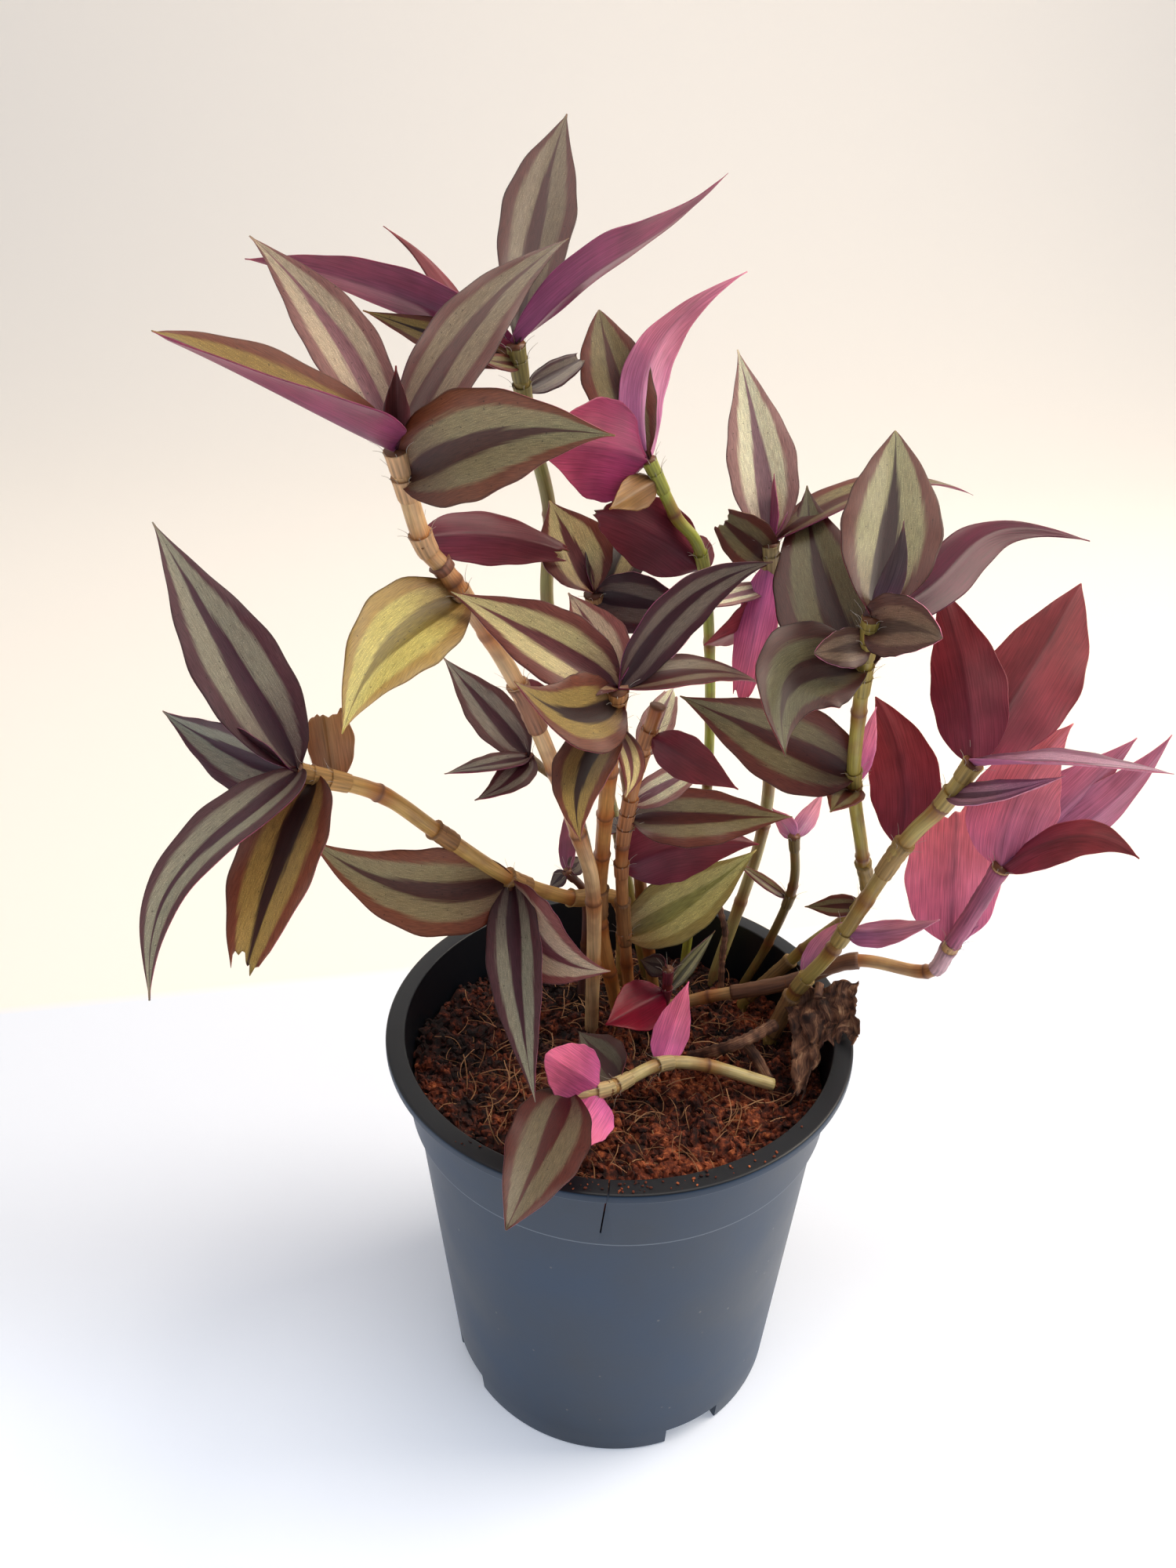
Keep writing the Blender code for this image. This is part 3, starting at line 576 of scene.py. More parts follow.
def sheath_patch(places, run, reach, radius, tints, length):
    """The sleeve of a leaf base around the stem, ending at a distance along it."""
    heights = np.array([0, 0.25, 1.2, 2.6, 4.2, 5.4, 6.0, 5.7]) * length / 6
    sizes = np.array([0.8, 1.02, 1.06, 1.08, 1.10, 1.14, 1.2, 1.0])
    at = np.clip(reach - length + heights, 0, run[-1])
    line = np.stack([np.interp(at, run, places[:, k]) for k in range(3)], axis=-1)
    if np.min(np.diff(at[:-1])) <= 0:
        return None
    line[-1] = line[-2] - unit(line[-2] - line[-3]) * 0.3
    _, first, second = path_frames(line[:-1])
    turn = np.arange(12) * np.pi / 6
    circle = np.cos(turn)[None, :, None] * first[:, None] + np.sin(turn)[None, :, None] * second[:, None]
    circle = np.concatenate([circle, circle[-1:]])
    rings = line[:, None] + radius * sizes[:, None, None] * circle
    along = (heights / 6)[:, None]
    shares = np.stack(np.broadcast_arrays(along, (np.arange(13) / 12)[None, :]), axis=-1)
    return loft(rings, shares, shares * (6, 13), np.full(12, 3), tints)


def wrapping(places, run, start, stop, radius, tone):
    """A loose papery sleeve along part of a cane."""
    line = places[(run >= start) & (run <= stop)]
    share = np.linspace(0, 1, len(line))
    wrinkle = 0.06 * np.sin(share * 19) * np.sin(share * 37 + 1)
    skin = np.array(linear(tone))
    return tube_patch(line, radius * (1.10 + wrinkle + 0.14 * share**9), 16, 3,
                      dict(light=skin, dark=skin, heart=skin, below=skin), ripple=0.05)


def hair_patches(places, run, reach, radius, seed):
    """The fringe of fine hairs at the mouth of a sheath."""
    at = np.array([reach - 0.3, min(reach + 0.6, run[-1])])
    line = np.stack([np.interp(at, run, places[:, k]) for k in range(3)], axis=-1)
    along = unit(line[1] - line[0])
    first = unit(np.cross(along, (0.3, 1.0, 0.1)))
    second = np.cross(first, along)
    pale = np.array(linear("cfc2b2"))
    hairs = []
    for k in range(7):
        turn = 0.9 * k + 6 * seed
        out = math.cos(turn) * first + math.sin(turn) * second
        size = 2.0 + 1.6 * abs(math.sin(5 * k + 9 * seed))
        share = np.linspace(0, 1, 5)[:, None]
        hair = line[0] + radius * 1.12 * out + size * (share * along * 0.8 + share**2 * out * 0.7)
        hairs.append(tube_patch(hair, np.linspace(0.07, 0.03, 5), 4, 3,
                                dict(light=pale, dark=pale, heart=pale, below=pale)))
    return hairs


# %% [markdown]
# ## Leaf and stem surfaces
# The silver of the two bands is a layer of air under the skin: pale and brushed lengthwise. Its
# sparkle is a painted glint on single cells. The rest is purple-brown pigment. Both faces are
# waxy, and light shines through the thin sheet. The pattern uses the share across the blade, and
# the fibres use mm.

# %% Leaf and stem materials


def upper_leaf_material():
    """Living leaf, upper face: two silver bands, a centre stripe, a darker field and edge."""
    material, tree, shader = new_material("tradescantia_leaf_upper_waxy_living")
    blade = add_node(tree, "ShaderNodeUVMap", {"uv_map": "blade"})
    axes = add_node(tree, "ShaderNodeSeparateXYZ", {}, {0: blade})
    grain = add_node(tree, "ShaderNodeUVMap", {"uv_map": "grain"})
    lines = add_node(tree, "ShaderNodeMapping", {}, {"Vector": grain, "Scale": (0.05, 1.3, 1)})
    streak = add_node(tree, "ShaderNodeTexNoise", {}, {"Vector": lines, "Scale": 1, "Detail": 5})
    # The slightly ragged distance from the midrib decides between stripe, band and margin.
    side = add_node(tree, "ShaderNodeMath", {"operation": "ABSOLUTE"}, {0: axes.outputs[1]})
    shift = add_node(tree, "ShaderNodeMath", {"operation": "MULTIPLY_ADD"},
                     {0: streak.outputs["Fac"], 1: 0.24, 2: -0.12})
    reach = add_node(tree, "ShaderNodeMath", {"operation": "ADD"}, {0: side, 1: shift})
    inner = add_node(tree, "ShaderNodeMapRange", {},
                     {"Value": axes.outputs[0], "From Min": 0.15, "From Max": 0.92,
                      "To Min": 0.29, "To Max": 0.02})
    inside = add_node(tree, "ShaderNodeMath", {"operation": "SUBTRACT"}, {0: reach, 1: inner})
    begin = add_node(tree, "ShaderNodeMapRange", {"interpolation_type": "SMOOTHSTEP"},
                     {"Value": inside, "From Min": -0.04, "From Max": 0.06})
    end = add_node(tree, "ShaderNodeMapRange", {"interpolation_type": "SMOOTHSTEP"},
                   {"Value": reach, "From Min": 0.57, "From Max": 0.72, "To Min": 1, "To Max": 0})
    band = add_node(tree, "ShaderNodeMath", {"operation": "MULTIPLY"}, {0: begin, 1: end})
    light = add_node(tree, "ShaderNodeAttribute", {"attribute_name": "light"})
    dark = add_node(tree, "ShaderNodeAttribute", {"attribute_name": "dark"})
    heart = add_node(tree, "ShaderNodeAttribute", {"attribute_name": "heart"})
    outer = add_node(tree, "ShaderNodeMapRange", {}, {"Value": side, "From Min": 0.3, "From Max": 0.45})
    ground = add_node(tree, "ShaderNodeMix", {"data_type": "RGBA"},
                      {"Factor": outer, "A": heart.outputs["Color"], "B": dark.outputs["Color"]})
    striped = add_node(tree, "ShaderNodeMix", {"data_type": "RGBA"},
                       {"Factor": band, "A": ground.outputs["Result"], "B": light.outputs["Color"]})
    # Brushed fibres, a painted glint on single cells of the bands, and small brown specks.
    fine = add_node(tree, "ShaderNodeMapping", {}, {"Vector": grain, "Scale": (0.35, 7, 1)})
    fibres = add_node(tree, "ShaderNodeTexNoise", {}, {"Vector": fine, "Scale": 1, "Detail": 3})
    cells = add_node(tree, "ShaderNodeTexNoise", {}, {"Vector": grain, "Scale": 4.5, "Detail": 2})
    tone = add_node(tree, "ShaderNodeMapRange", {},
                    {"Value": fibres.outputs["Fac"], "From Min": 0.3, "From Max": 0.7,
                     "To Min": 0.62, "To Max": 1.35})
    # Painted highlight: some cells of the bands are lightened in the colour as glints.
    painted_glint = add_node(tree, "ShaderNodeMapRange", {},
                     {"Value": cells.outputs["Fac"], "From Min": 0.58, "From Max": 0.74,
                      "To Min": 0, "To Max": 1.1})
    fibre_tone_and_painted_glint = add_node(tree, "ShaderNodeMath", {"operation": "MULTIPLY_ADD"},
                     {0: painted_glint, 1: band, 2: tone})
    streaked_with_painted_glint = add_node(tree, "ShaderNodeVectorMath", {"operation": "SCALE"},
                       {0: striped.outputs["Result"], "Scale": fibre_tone_and_painted_glint})
    spots = add_node(tree, "ShaderNodeTexVoronoi", {}, {"Vector": grain, "Scale": 0.5})
    small = add_node(tree, "ShaderNodeMapRange", {},
                     {"Value": spots.outputs["Distance"], "From Min": 0.06, "From Max": 0.11,
                      "To Min": 0.45, "To Max": 1})
    rim = add_node(tree, "ShaderNodeMapRange", {},
                   {"Value": side, "From Min": 0.94, "From Max": 0.985, "To Min": 1, "To Max": 0.5})
    shade = add_node(tree, "ShaderNodeMath", {"operation": "MULTIPLY"}, {0: small, 1: rim})
    speckled = add_node(tree, "ShaderNodeVectorMath", {"operation": "SCALE"},
                        {0: streaked_with_painted_glint, "Scale": shade})
    # The blade is darker and more purple towards its base.
    young = add_node(tree, "ShaderNodeMapRange", {},
                     {"Value": axes.outputs[0], "From Min": 0.02, "From Max": 0.34,
                      "To Min": 0.85, "To Max": 0})
    final = add_node(tree, "ShaderNodeMix", {"data_type": "RGBA", "blend_type": "MULTIPLY"},
                     {"Factor": young, "A": speckled.outputs[0], "B": linear("a8788c")})
    tree.links.new(final.outputs["Result"], shader.inputs["Base Color"])
    rough = add_node(tree, "ShaderNodeMapRange", {},
                     {"Value": cells.outputs["Fac"], "To Min": 0.30, "To Max": 0.50})
    tree.links.new(rough.outputs[0], shader.inputs["Roughness"])
    height = add_node(tree, "ShaderNodeMath", {"operation": "ADD"},
                      {0: fibres.outputs["Fac"], 1: cells.outputs["Fac"]})
    bump = add_node(tree, "ShaderNodeBump", {}, {"Height": height, "Strength": 0.5, "Distance": 0.00004})
    tree.links.new(bump.outputs[0], shader.inputs["Normal"])
    shader.inputs["Subsurface Weight"].default_value = 0.3
    shader.inputs["Subsurface Radius"].default_value = (1.0, 0.55, 0.3)
    shader.inputs["Subsurface Scale"].default_value = 0.0008
    shader.inputs["Specular IOR Level"].default_value = 0.32
    return material


def under_leaf_material():
    """Living leaf, underside: one red or purple pigment with satin lengthwise fibres."""
    material, tree, shader = new_material("tradescantia_leaf_underside_satin_living")
    grain = add_node(tree, "ShaderNodeUVMap", {"uv_map": "grain"})
    blade = add_node(tree, "ShaderNodeUVMap", {"uv_map": "blade"})
    axes = add_node(tree, "ShaderNodeSeparateXYZ", {}, {0: blade})
    below = add_node(tree, "ShaderNodeAttribute", {"attribute_name": "below"})
    fine = add_node(tree, "ShaderNodeMapping", {}, {"Vector": grain, "Scale": (0.12, 3.5, 1)})
    fibres = add_node(tree, "ShaderNodeTexNoise", {}, {"Vector": fine, "Scale": 1, "Detail": 5})
    cloud = add_node(tree, "ShaderNodeTexNoise", {}, {"Vector": grain, "Scale": 0.09, "Detail": 2})
    tone = add_node(tree, "ShaderNodeMapRange", {},
                    {"Value": fibres.outputs["Fac"], "From Min": 0.3, "From Max": 0.7,
                     "To Min": 0.72, "To Max": 1.3})
    broad = add_node(tree, "ShaderNodeMapRange", {},
                     {"Value": cloud.outputs["Fac"], "From Min": 0.3, "From Max": 0.7,
                      "To Min": 0.75, "To Max": 1.2})
    side = add_node(tree, "ShaderNodeMath", {"operation": "ABSOLUTE"}, {0: axes.outputs[1]})
    vein = add_node(tree, "ShaderNodeMapRange", {},
                    {"Value": side, "From Min": 0.0, "From Max": 0.07, "To Min": 0.8, "To Max": 1})
    first = add_node(tree, "ShaderNodeMath", {"operation": "MULTIPLY"}, {0: tone, 1: broad})
    both = add_node(tree, "ShaderNodeMath", {"operation": "MULTIPLY"}, {0: first, 1: vein})
    plain = add_node(tree, "ShaderNodeVectorMath", {"operation": "SCALE"},
                     {0: below.outputs["Color"], "Scale": both})
    # Older tissue towards the tip is warmer, and the base is more violet.
    place = add_node(tree, "ShaderNodeMapRange", {"interpolation_type": "SMOOTHSTEP"},
                     {"Value": axes.outputs[0], "From Min": 0.05, "From Max": 0.75})
    cast = add_node(tree, "ShaderNodeMix", {"data_type": "RGBA"},
                    {"Factor": place, "A": (0.90, 0.80, 1.04, 1), "B": (1.12, 1.02, 0.90, 1)})
    final = add_node(tree, "ShaderNodeVectorMath", {"operation": "MULTIPLY"},
                     {0: plain, 1: cast.outputs["Result"]})
    tree.links.new(final.outputs[0], shader.inputs["Base Color"])
    shader.inputs["Roughness"].default_value = 0.38
    shader.inputs["Specular IOR Level"].default_value = 0.25
    bump = add_node(tree, "ShaderNodeBump", {},
                    {"Height": fibres.outputs["Fac"], "Strength": 0.5, "Distance": 0.00006})
    tree.links.new(bump.outputs[0], shader.inputs["Normal"])
    shader.inputs["Subsurface Weight"].default_value = 0.35
    shader.inputs["Subsurface Radius"].default_value = (1.0, 0.5, 0.5)
    shader.inputs["Subsurface Scale"].default_value = 0.001
    return material


def stem_material():
    """Living cane: fibrous and semi-glossy, with darker joints and small dark dots."""
    material, tree, shader = new_material("tradescantia_stem_fleshy_cane")
    grain = add_node(tree, "ShaderNodeUVMap", {"uv_map": "grain"})
    light = add_node(tree, "ShaderNodeAttribute", {"attribute_name": "light"})
    marks = add_node(tree, "ShaderNodeAttribute", {"attribute_name": "dark"})
    parts = add_node(tree, "ShaderNodeSeparateXYZ", {}, {0: marks.outputs["Vector"]})
    fine = add_node(tree, "ShaderNodeMapping", {}, {"Vector": grain, "Scale": (0.10, 2.2, 1)})
    fibres = add_node(tree, "ShaderNodeTexNoise", {}, {"Vector": fine, "Scale": 1, "Detail": 4})
    cloud = add_node(tree, "ShaderNodeTexNoise", {}, {"Vector": grain, "Scale": 0.16, "Detail": 2})
    tone = add_node(tree, "ShaderNodeMapRange", {},
                    {"Value": fibres.outputs["Fac"], "From Min": 0.3, "From Max": 0.7,
                     "To Min": 0.7, "To Max": 1.2})
    plain = add_node(tree, "ShaderNodeVectorMath", {"operation": "SCALE"},
                     {0: light.outputs["Color"], "Scale": tone})
    warm = add_node(tree, "ShaderNodeMix", {"data_type": "RGBA", "blend_type": "MULTIPLY"},
                    {"Factor": parts.outputs[1], "A": plain.outputs[0], "B": linear("e2b896")})
    patchy = add_node(tree, "ShaderNodeMapRange", {},
                      {"Value": cloud.outputs["Fac"], "From Min": 0.48, "From Max": 0.66,
                       "To Min": 0, "To Max": 0.35})
    tinged = add_node(tree, "ShaderNodeMix", {"data_type": "RGBA"},
                      {"Factor": patchy, "A": warm.outputs["Result"], "B": linear("8a5236")})
    ringed = add_node(tree, "ShaderNodeMix", {"data_type": "RGBA"},
                      {"Factor": parts.outputs[0], "A": tinged.outputs["Result"], "B": linear("744628")})
    tree.links.new(ringed.outputs["Result"], shader.inputs["Base Color"])
    shader.inputs["Roughness"].default_value = 0.42
    bump = add_node(tree, "ShaderNodeBump", {},
                    {"Height": fibres.outputs["Fac"], "Strength": 0.6, "Distance": 0.0001})
    tree.links.new(bump.outputs[0], shader.inputs["Normal"])
    shader.inputs["Subsurface Weight"].default_value = 0.15
    shader.inputs["Subsurface Radius"].default_value = (1.0, 0.6, 0.3)
    shader.inputs["Subsurface Scale"].default_value = 0.001
    return material


def sheath_material():
    """Dry sheath: thin papery sleeve with dark lengthwise veins."""
    material, tree, shader = new_material("tradescantia_sheath_papery")
    grain = add_node(tree, "ShaderNodeUVMap", {"uv_map": "grain"})
    light = add_node(tree, "ShaderNodeAttribute", {"attribute_name": "light"})
    fine = add_node(tree, "ShaderNodeMapping", {}, {"Vector": grain, "Scale": (0.08, 1.6, 1)})
    fibres = add_node(tree, "ShaderNodeTexNoise", {}, {"Vector": fine, "Scale": 1, "Detail": 4})
    tone = add_node(tree, "ShaderNodeMapRange", {},
                    {"Value": fibres.outputs["Fac"], "From Min": 0.35, "From Max": 0.65,
                     "To Min": 0.55, "To Max": 1.2})
    final = add_node(tree, "ShaderNodeVectorMath", {"operation": "SCALE"},
                     {0: light.outputs["Color"], "Scale": tone})
    tree.links.new(final.outputs[0], shader.inputs["Base Color"])
    shader.inputs["Roughness"].default_value = 0.55
    return material


PLANT_MATERIALS = [upper_leaf_material(), under_leaf_material(), stem_material(), sheath_material()]
print([material.name for material in PLANT_MATERIALS])

# %% [markdown]
# ## Shoots
# Each shoot is one piece: its cane, its blades, its sheaths and the scraps at its bare
# joints, joined under the name of the solid that it stands for.

# %% Build the shoots
RED_SHOOTS = ("stem_top_right", "stem_right_front", "stem_right_arch", "sprout_low",
              "stem_small_purple")
PINK_SHOOTS = ("stem_far_right", "stem_thin_back", "loose_cutting")


# Old sleeves that still wrap a cane: from a station to a station, and a colour.
WRAPPINGS = {
    "stem_far_right": [(1.3, 3.05, "7c543a"), (4.25, 4.97, "c89aa0"), (5.02, 5.98, "b05c78")],
    "stem_right_arch": [(0.05, 0.9, "9a7448"), (2.7, 3.1, "a8864e")],
    "stem_left_arch": [(2.7, 3.05, "a87a44"), (3.8, 4.1, "9a6c3c"), (1.5, 2.0, "b08a50")],
    "stem_upper_left": [(2.75, 3.1, "9c6a4c"), (4.1, 4.4, "8c5a44")],
    "stem_right_front": [(2.3, 2.9, "947a40"), (0.1, 0.8, "8c6c3a")],
    "stem_front": [(1.1, 1.5, "96683c")],
    "stem_low_centre": [(0.7, 1.2, "96683c")],
}


# Red pigment shows through the fields and the centre stripe of most upper faces.
PIGMENT = (1.15, 0.76, 0.82, 1)
PIGMENT_FREE = ("gold", "leafy", "green", "mauve", "blush", "plain")


def leaf_tints(look, seed):
    """Linear colours of a leaf, a little lighter or darker than its look's."""
    upper, under = look.split()
    change = 1 + 0.12 * math.sin(17 * seed)
    shades = {"light": 0.76, "dark": 0.52, "heart": 0.48, "below": 0.80}
    codes = (*UPPER[upper], UNDER[under])
    tints = {name: np.array(linear(code)) * (*[change * shade] * 3, 1)
             for (name, shade), code in zip(shades.items(), codes)}
    if upper not in PIGMENT_FREE:
        tints["dark"] *= PIGMENT
        tints["heart"] *= PIGMENT
    return tints


def make_shoot(name):
    """A cane with its blades, sheaths and scraps as one object."""
    radius, tone, points = STEMS[name]
    patches, joints, run, places = stem_patches(
        name, radius, points, tone, name != "loose_cutting")
    spans = smooth_path(points, 0.9)[1]
    leafy = []
    for order, leaf in enumerate(LEAVES[name]):
        seed = (len(name) * 0.37 + order * 0.618 + len(LEAVES[name]) * 0.11) % 1
        tints = leaf_tints(leaf[6], seed)
        patches.append(blade_patch(station(points, leaf[0], order), leaf, seed, tints))
        reach = float(np.interp(leaf[0], spans, run)) - LEAF_SETBACK * (order + 1) + 1.5
        leafy.append(reach)
    skin = np.array(linear(tone)) * (0.9, 0.82, 0.86, 1)
    skins = dict(light=skin, dark=skin, heart=skin, below=skin)
    sleeves = []
    for reach in leafy:
        if all(abs(reach - other) > 3.0 for other in sleeves):
            sleeves.append(reach)
            sleeve = sheath_patch(places, run, min(reach, run[-1] - 0.2), radius, skins, 5.0)
            if sleeve:
                patches.append(sleeve)
                patches += hair_patches(places, run, min(reach, run[-1] - 0.2), radius, reach % 1)
    for start, stop, colour in WRAPPINGS.get(name, []):
        patches.append(wrapping(places, run, np.interp(start, spans, run),
                                np.interp(stop, spans, run), radius, colour))
    obj = join_patches(name + "_fine", patches, PLANT_MATERIALS)
    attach(obj, "root")
    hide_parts(name)
    if name in RED_SHOOTS:
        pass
    elif name in PINK_SHOOTS:
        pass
    else:
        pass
    return obj


shoots = [make_shoot(name) for name in STEMS]
print(sum(len(obj.data.loop_triangles) or 2 * len(obj.data.polygons) for obj in shoots), "triangles")

# %% [markdown]
# ## The dead stem and the withered leaf
# A dead cane lies on the coir: dark, dry and shrunken between its joints. The withered leaf hangs
# inside the right of the rim. Its soft tissue has dried to a crumpled brown sheet.

# %% Dry pieces
DEAD_STEM = [(19, -3, 100), (30, -9, 110), (41, 1, 108)]
DEAD_STUB = [(32, -3, 106), (35, -6, 104), (38.5, -11, 100)]
DEAD_ROOT = [(28, 30, 125), (30, 29, 118), (29.5, 27, 111), (29.5, 25, 98)]
WITHERED_BASE = [(52, 4, 119), (51, 0, 118)]
# Lines down the withered leaf, from its left edge to its right: it hangs from the stem, with a
# tail inside the pot on the left and a lobe over the rim on the right.
WITHERED_LINES = [
    [(44, 9, 111), (44.5, -6, 106), (43, -20, 102.5)],
    [(49, 7, 115), (50, 0, 111), (49, -9, 107), (45, -22, 102.5)],
    [(53.5, 6, 117.5), (53.5, -1, 112), (52, -9, 108)],
    [(58, 5, 119), (56.5, -3, 114), (55, -11, 111.5)],
    [(62, 4, 120), (61, -4, 117), (58.5, -13, 112.5)],
]


def dry_material():
    """Dead plant tissue: matt, fibrous and blotched brown."""
    material, tree, shader = new_material("tradescantia_tissue_dry_brown")
    grain = add_node(tree, "ShaderNodeUVMap", {"uv_map": "grain"})
    fine = add_node(tree, "ShaderNodeMapping", {}, {"Vector": grain, "Scale": (0.12, 2.2, 1)})
    fibres = add_node(tree, "ShaderNodeTexNoise", {}, {"Vector": fine, "Scale": 1, "Detail": 5})
    cloud = add_node(tree, "ShaderNodeTexNoise", {}, {"Vector": grain, "Scale": 0.22, "Detail": 4})
    mixed = add_node(tree, "ShaderNodeMath", {"operation": "MULTIPLY_ADD"},
                     {0: fibres.outputs["Fac"], 1: 0.6, 2: -0.3})
    both = add_node(tree, "ShaderNodeMath", {"operation": "ADD"}, {0: cloud.outputs["Fac"], 1: mixed})
    ramp = add_node(tree, "ShaderNodeValToRGB", {}, {"Fac": both})
    stops = ((0.30, "281812"), (0.46, "583828"), (0.60, "8a6046"), (0.76, "bc9a74"))
    elements = ramp.color_ramp.elements
    elements.new(0.5)
    elements.new(0.7)
    for element, (place, code) in zip(elements, stops):
        element.position = place
        element.color = linear(code)
    tree.links.new(ramp.outputs["Color"], shader.inputs["Base Color"])
    shader.inputs["Roughness"].default_value = 0.75
    bump = add_node(tree, "ShaderNodeBump", {}, {"Height": both, "Strength": 0.7, "Distance": 0.0003})
    tree.links.new(bump.outputs[0], shader.inputs["Normal"])
    return material


DRY = dry_material()
dust = np.array(linear("6a4a34"))
dry_tints = dict(light=dust, dark=dust, heart=dust, below=dust)


def dry_tube(points, radius, spacing, wrinkle):
    """A shrunken, wrinkled tube along a path."""
    places, _ = smooth_path(points, spacing)
    s = np.arange(len(places))
    radii = radius * (1 + wrinkle * np.sin(s * 1.9) + 0.5 * wrinkle * np.sin(s * 0.7 + 1))
    return tube_patch(places, radii, 12, 0, dry_tints, ripple=0.12)


def crumpled_sheet(lines, rows, columns, seed):
    """A thin sheet laid over lines, creased lengthwise, crumpled, and torn along its end."""
    guides = []
    for points in lines:
        places, spans = smooth_path(points, 0.5)
        steps = np.linspace(0, spans[-1], rows)
        guides.append([np.interp(steps, spans, places[:, k]) for k in range(3)])
    guides = np.array(guides)
    order = np.arange(len(lines))
    across = np.linspace(0, len(lines) - 1, columns)
    share = np.linspace(0, 1, rows)
    grid = np.empty((rows, columns, 3))
    for column, place in enumerate(across):
        torn = 1 - 0.22 * abs(noise.noise((place * 2.3, seed, 0.5)))
        for k in range(3):
            line = [np.interp(place, order, guides[:, k, row]) for row in range(rows)]
            grid[:, column, k] = np.interp(share * torn, share, line)
    normals = unit(np.cross(np.gradient(grid, axis=0), np.gradient(grid, axis=1)))
    creases = np.sin(across * 6.5 + 1.5 * np.sin(share[:, None] * 4)) * (0.3 + 0.7 * share[:, None])
    for row in range(rows):
        for column in range(columns):
            spot = Vector(grid[row, column])
            shift = Vector(noise.noise_vector(spot * 0.22)) * 1.8
            shift += Vector(noise.noise_vector(spot * 0.75)) * 0.7
            shift += Vector(normals[row, column]) * 0.7 * creases[row, column]
            grid[row, column] = spot + shift
    normals = unit(np.cross(np.gradient(grid, axis=0), np.gradient(grid, axis=1)))
    rings = np.concatenate([grid + normals * 0.13, (grid - normals * 0.13)[:, ::-1]], axis=1)
    both = np.concatenate([across, across[::-1], across[:1]])
    shares = np.stack(np.broadcast_arrays(share[:, None], both[None, :]), axis=-1)
    return loft(rings, shares, shares * (34, 7), np.full(2 * columns, 0), dry_tints)


dead_stem = join_patches("dead_stem_fine", [
    dry_tube(DEAD_STEM, 1.5, 0.8, 0.10), dry_tube(DEAD_STUB, 1.4, 0.7, 0.06),
    dry_tube(DEAD_ROOT, 0.9, 0.7, 0.14)], [DRY])
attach(dead_stem, "root")
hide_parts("dead_stem")

withered = join_patches("withered_leaf_fine", [
    dry_tube(WITHERED_BASE, 1.1, 0.5, 0.05), crumpled_sheet(WITHERED_LINES, 46, 61, 1.7)], [DRY])
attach(withered, "root")
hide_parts("withered_leaf")

# %% [markdown]
# ## The pot
# A nursery pot is injection moulded in one shot of dark polypropylene. Its profile is turned here
# with small radii at every edge, then notched for drainage through the corner of floor and wall.
# The collar has a short split. The plastic is slate grey and satin outside; inside, above the coir, it is
# painted nearly black as shade.

# %% Pot
POT_HEIGHT, RIM_RADIUS, LIP_DEPTH = 111.0, 60.0, 2.4
COLLAR_TOP_RADIUS, COLLAR_LOW_RADIUS, COLLAR_LOW = 56.4, 54.8, 89.5
BODY_TOP_RADIUS, BASE_RADIUS, WALL, FLOOR = 53.4, 45.8, 1.3, 1.8
NOTCH_ANGLES, NOTCH_WIDTH, NOTCH_HEIGHT = (-62, 28, 118, 208), 16.0, 6.0
SPLIT_ANGLE, SPLIT_WIDTH, SPLIT_HEIGHT = -94.0, 0.35, 18.0


def rounded(corners):
    """A polyline with its corners turned into arcs: each corner is (radius, height, rounding)."""
    line = []
    for k, (r, z, size) in enumerate(corners):
        here = np.array([r, z], float)
        if size == 0:
            line.append(here)
            continue
        before, after = (np.array(corners[n][:2], float) for n in (k - 1, k + 1))
        start = here + unit(before - here) * size
        stop = here + unit(after - here) * size
        for u in np.linspace(0, 1, 5):
            line.append(start * (1 - u) ** 2 + 2 * here * u * (1 - u) + stop * u * u)
    return line


def turned(name, line, steps):
    """A closed solid of revolution from a (radius, height) line whose ends are on the axis."""
    turn = np.arange(steps) * 2 * np.pi / steps
    bm = bmesh.new()
    rings = []
    for r, z in line:
        if r < 1e-6:
            rings.append([bm.verts.new((0, 0, z * MM))] * steps)
        else:
            rings.append([bm.verts.new((r * math.cos(a) * MM, r * math.sin(a) * MM, z * MM))
                          for a in turn])
    for low, high in zip(rings, rings[1:]):
        for k in range(steps):
            n = (k + 1) % steps
            corners = dict.fromkeys((low[k], low[n], high[n], high[k]))
            bm.faces.new(list(corners))
    bmesh.ops.recalc_face_normals(bm, faces=bm.faces)
    for face in bm.faces:
        face.smooth = True
    mesh = bpy.data.meshes.new(name)
    bm.to_mesh(mesh)
    bm.free()
    obj = bpy.data.objects.new(name, mesh)
    bpy.context.scene.collection.objects.link(obj)
    return obj


def radial_cutter(angle, radius, width, depth, low, high, lean=0.0):
    """A box across the wall at an angle in degrees. It may lean sideways, also in degrees."""
    bm = bmesh.new()
    size = Matrix.Diagonal((depth * MM, width * MM, (high - low) * MM, 1))
    place = Matrix.Translation((radius * MM, 0, (low + high) / 2 * MM))
    around = Matrix.Rotation(math.radians(angle), 4, "Z")
    tipped = Matrix.Rotation(math.radians(lean), 4, "X")
    bmesh.ops.create_cube(bm, size=1, matrix=around @ place @ tipped @ size)
    mesh = bpy.data.meshes.new("cutter")
    bm.to_mesh(mesh)
    bm.free()
    obj = bpy.data.objects.new("cutter", mesh)
    bpy.context.scene.collection.objects.link(obj)
    return obj


def cut_away(obj, cutters):
    """Subtracts each cutter and removes it."""
    for cutter in cutters:
        modifier = obj.modifiers.new("cut", "BOOLEAN")
        modifier.object = cutter
        modifier.operation = "DIFFERENCE"
        modifier.solver = "EXACT"
    bpy.context.view_layer.update()
    graph = bpy.context.evaluated_depsgraph_get()
    mesh = bpy.data.meshes.new_from_object(obj.evaluated_get(graph))
    obj.modifiers.clear()
    obj.data = mesh
    for cutter in cutters:
        bpy.data.objects.remove(cutter)


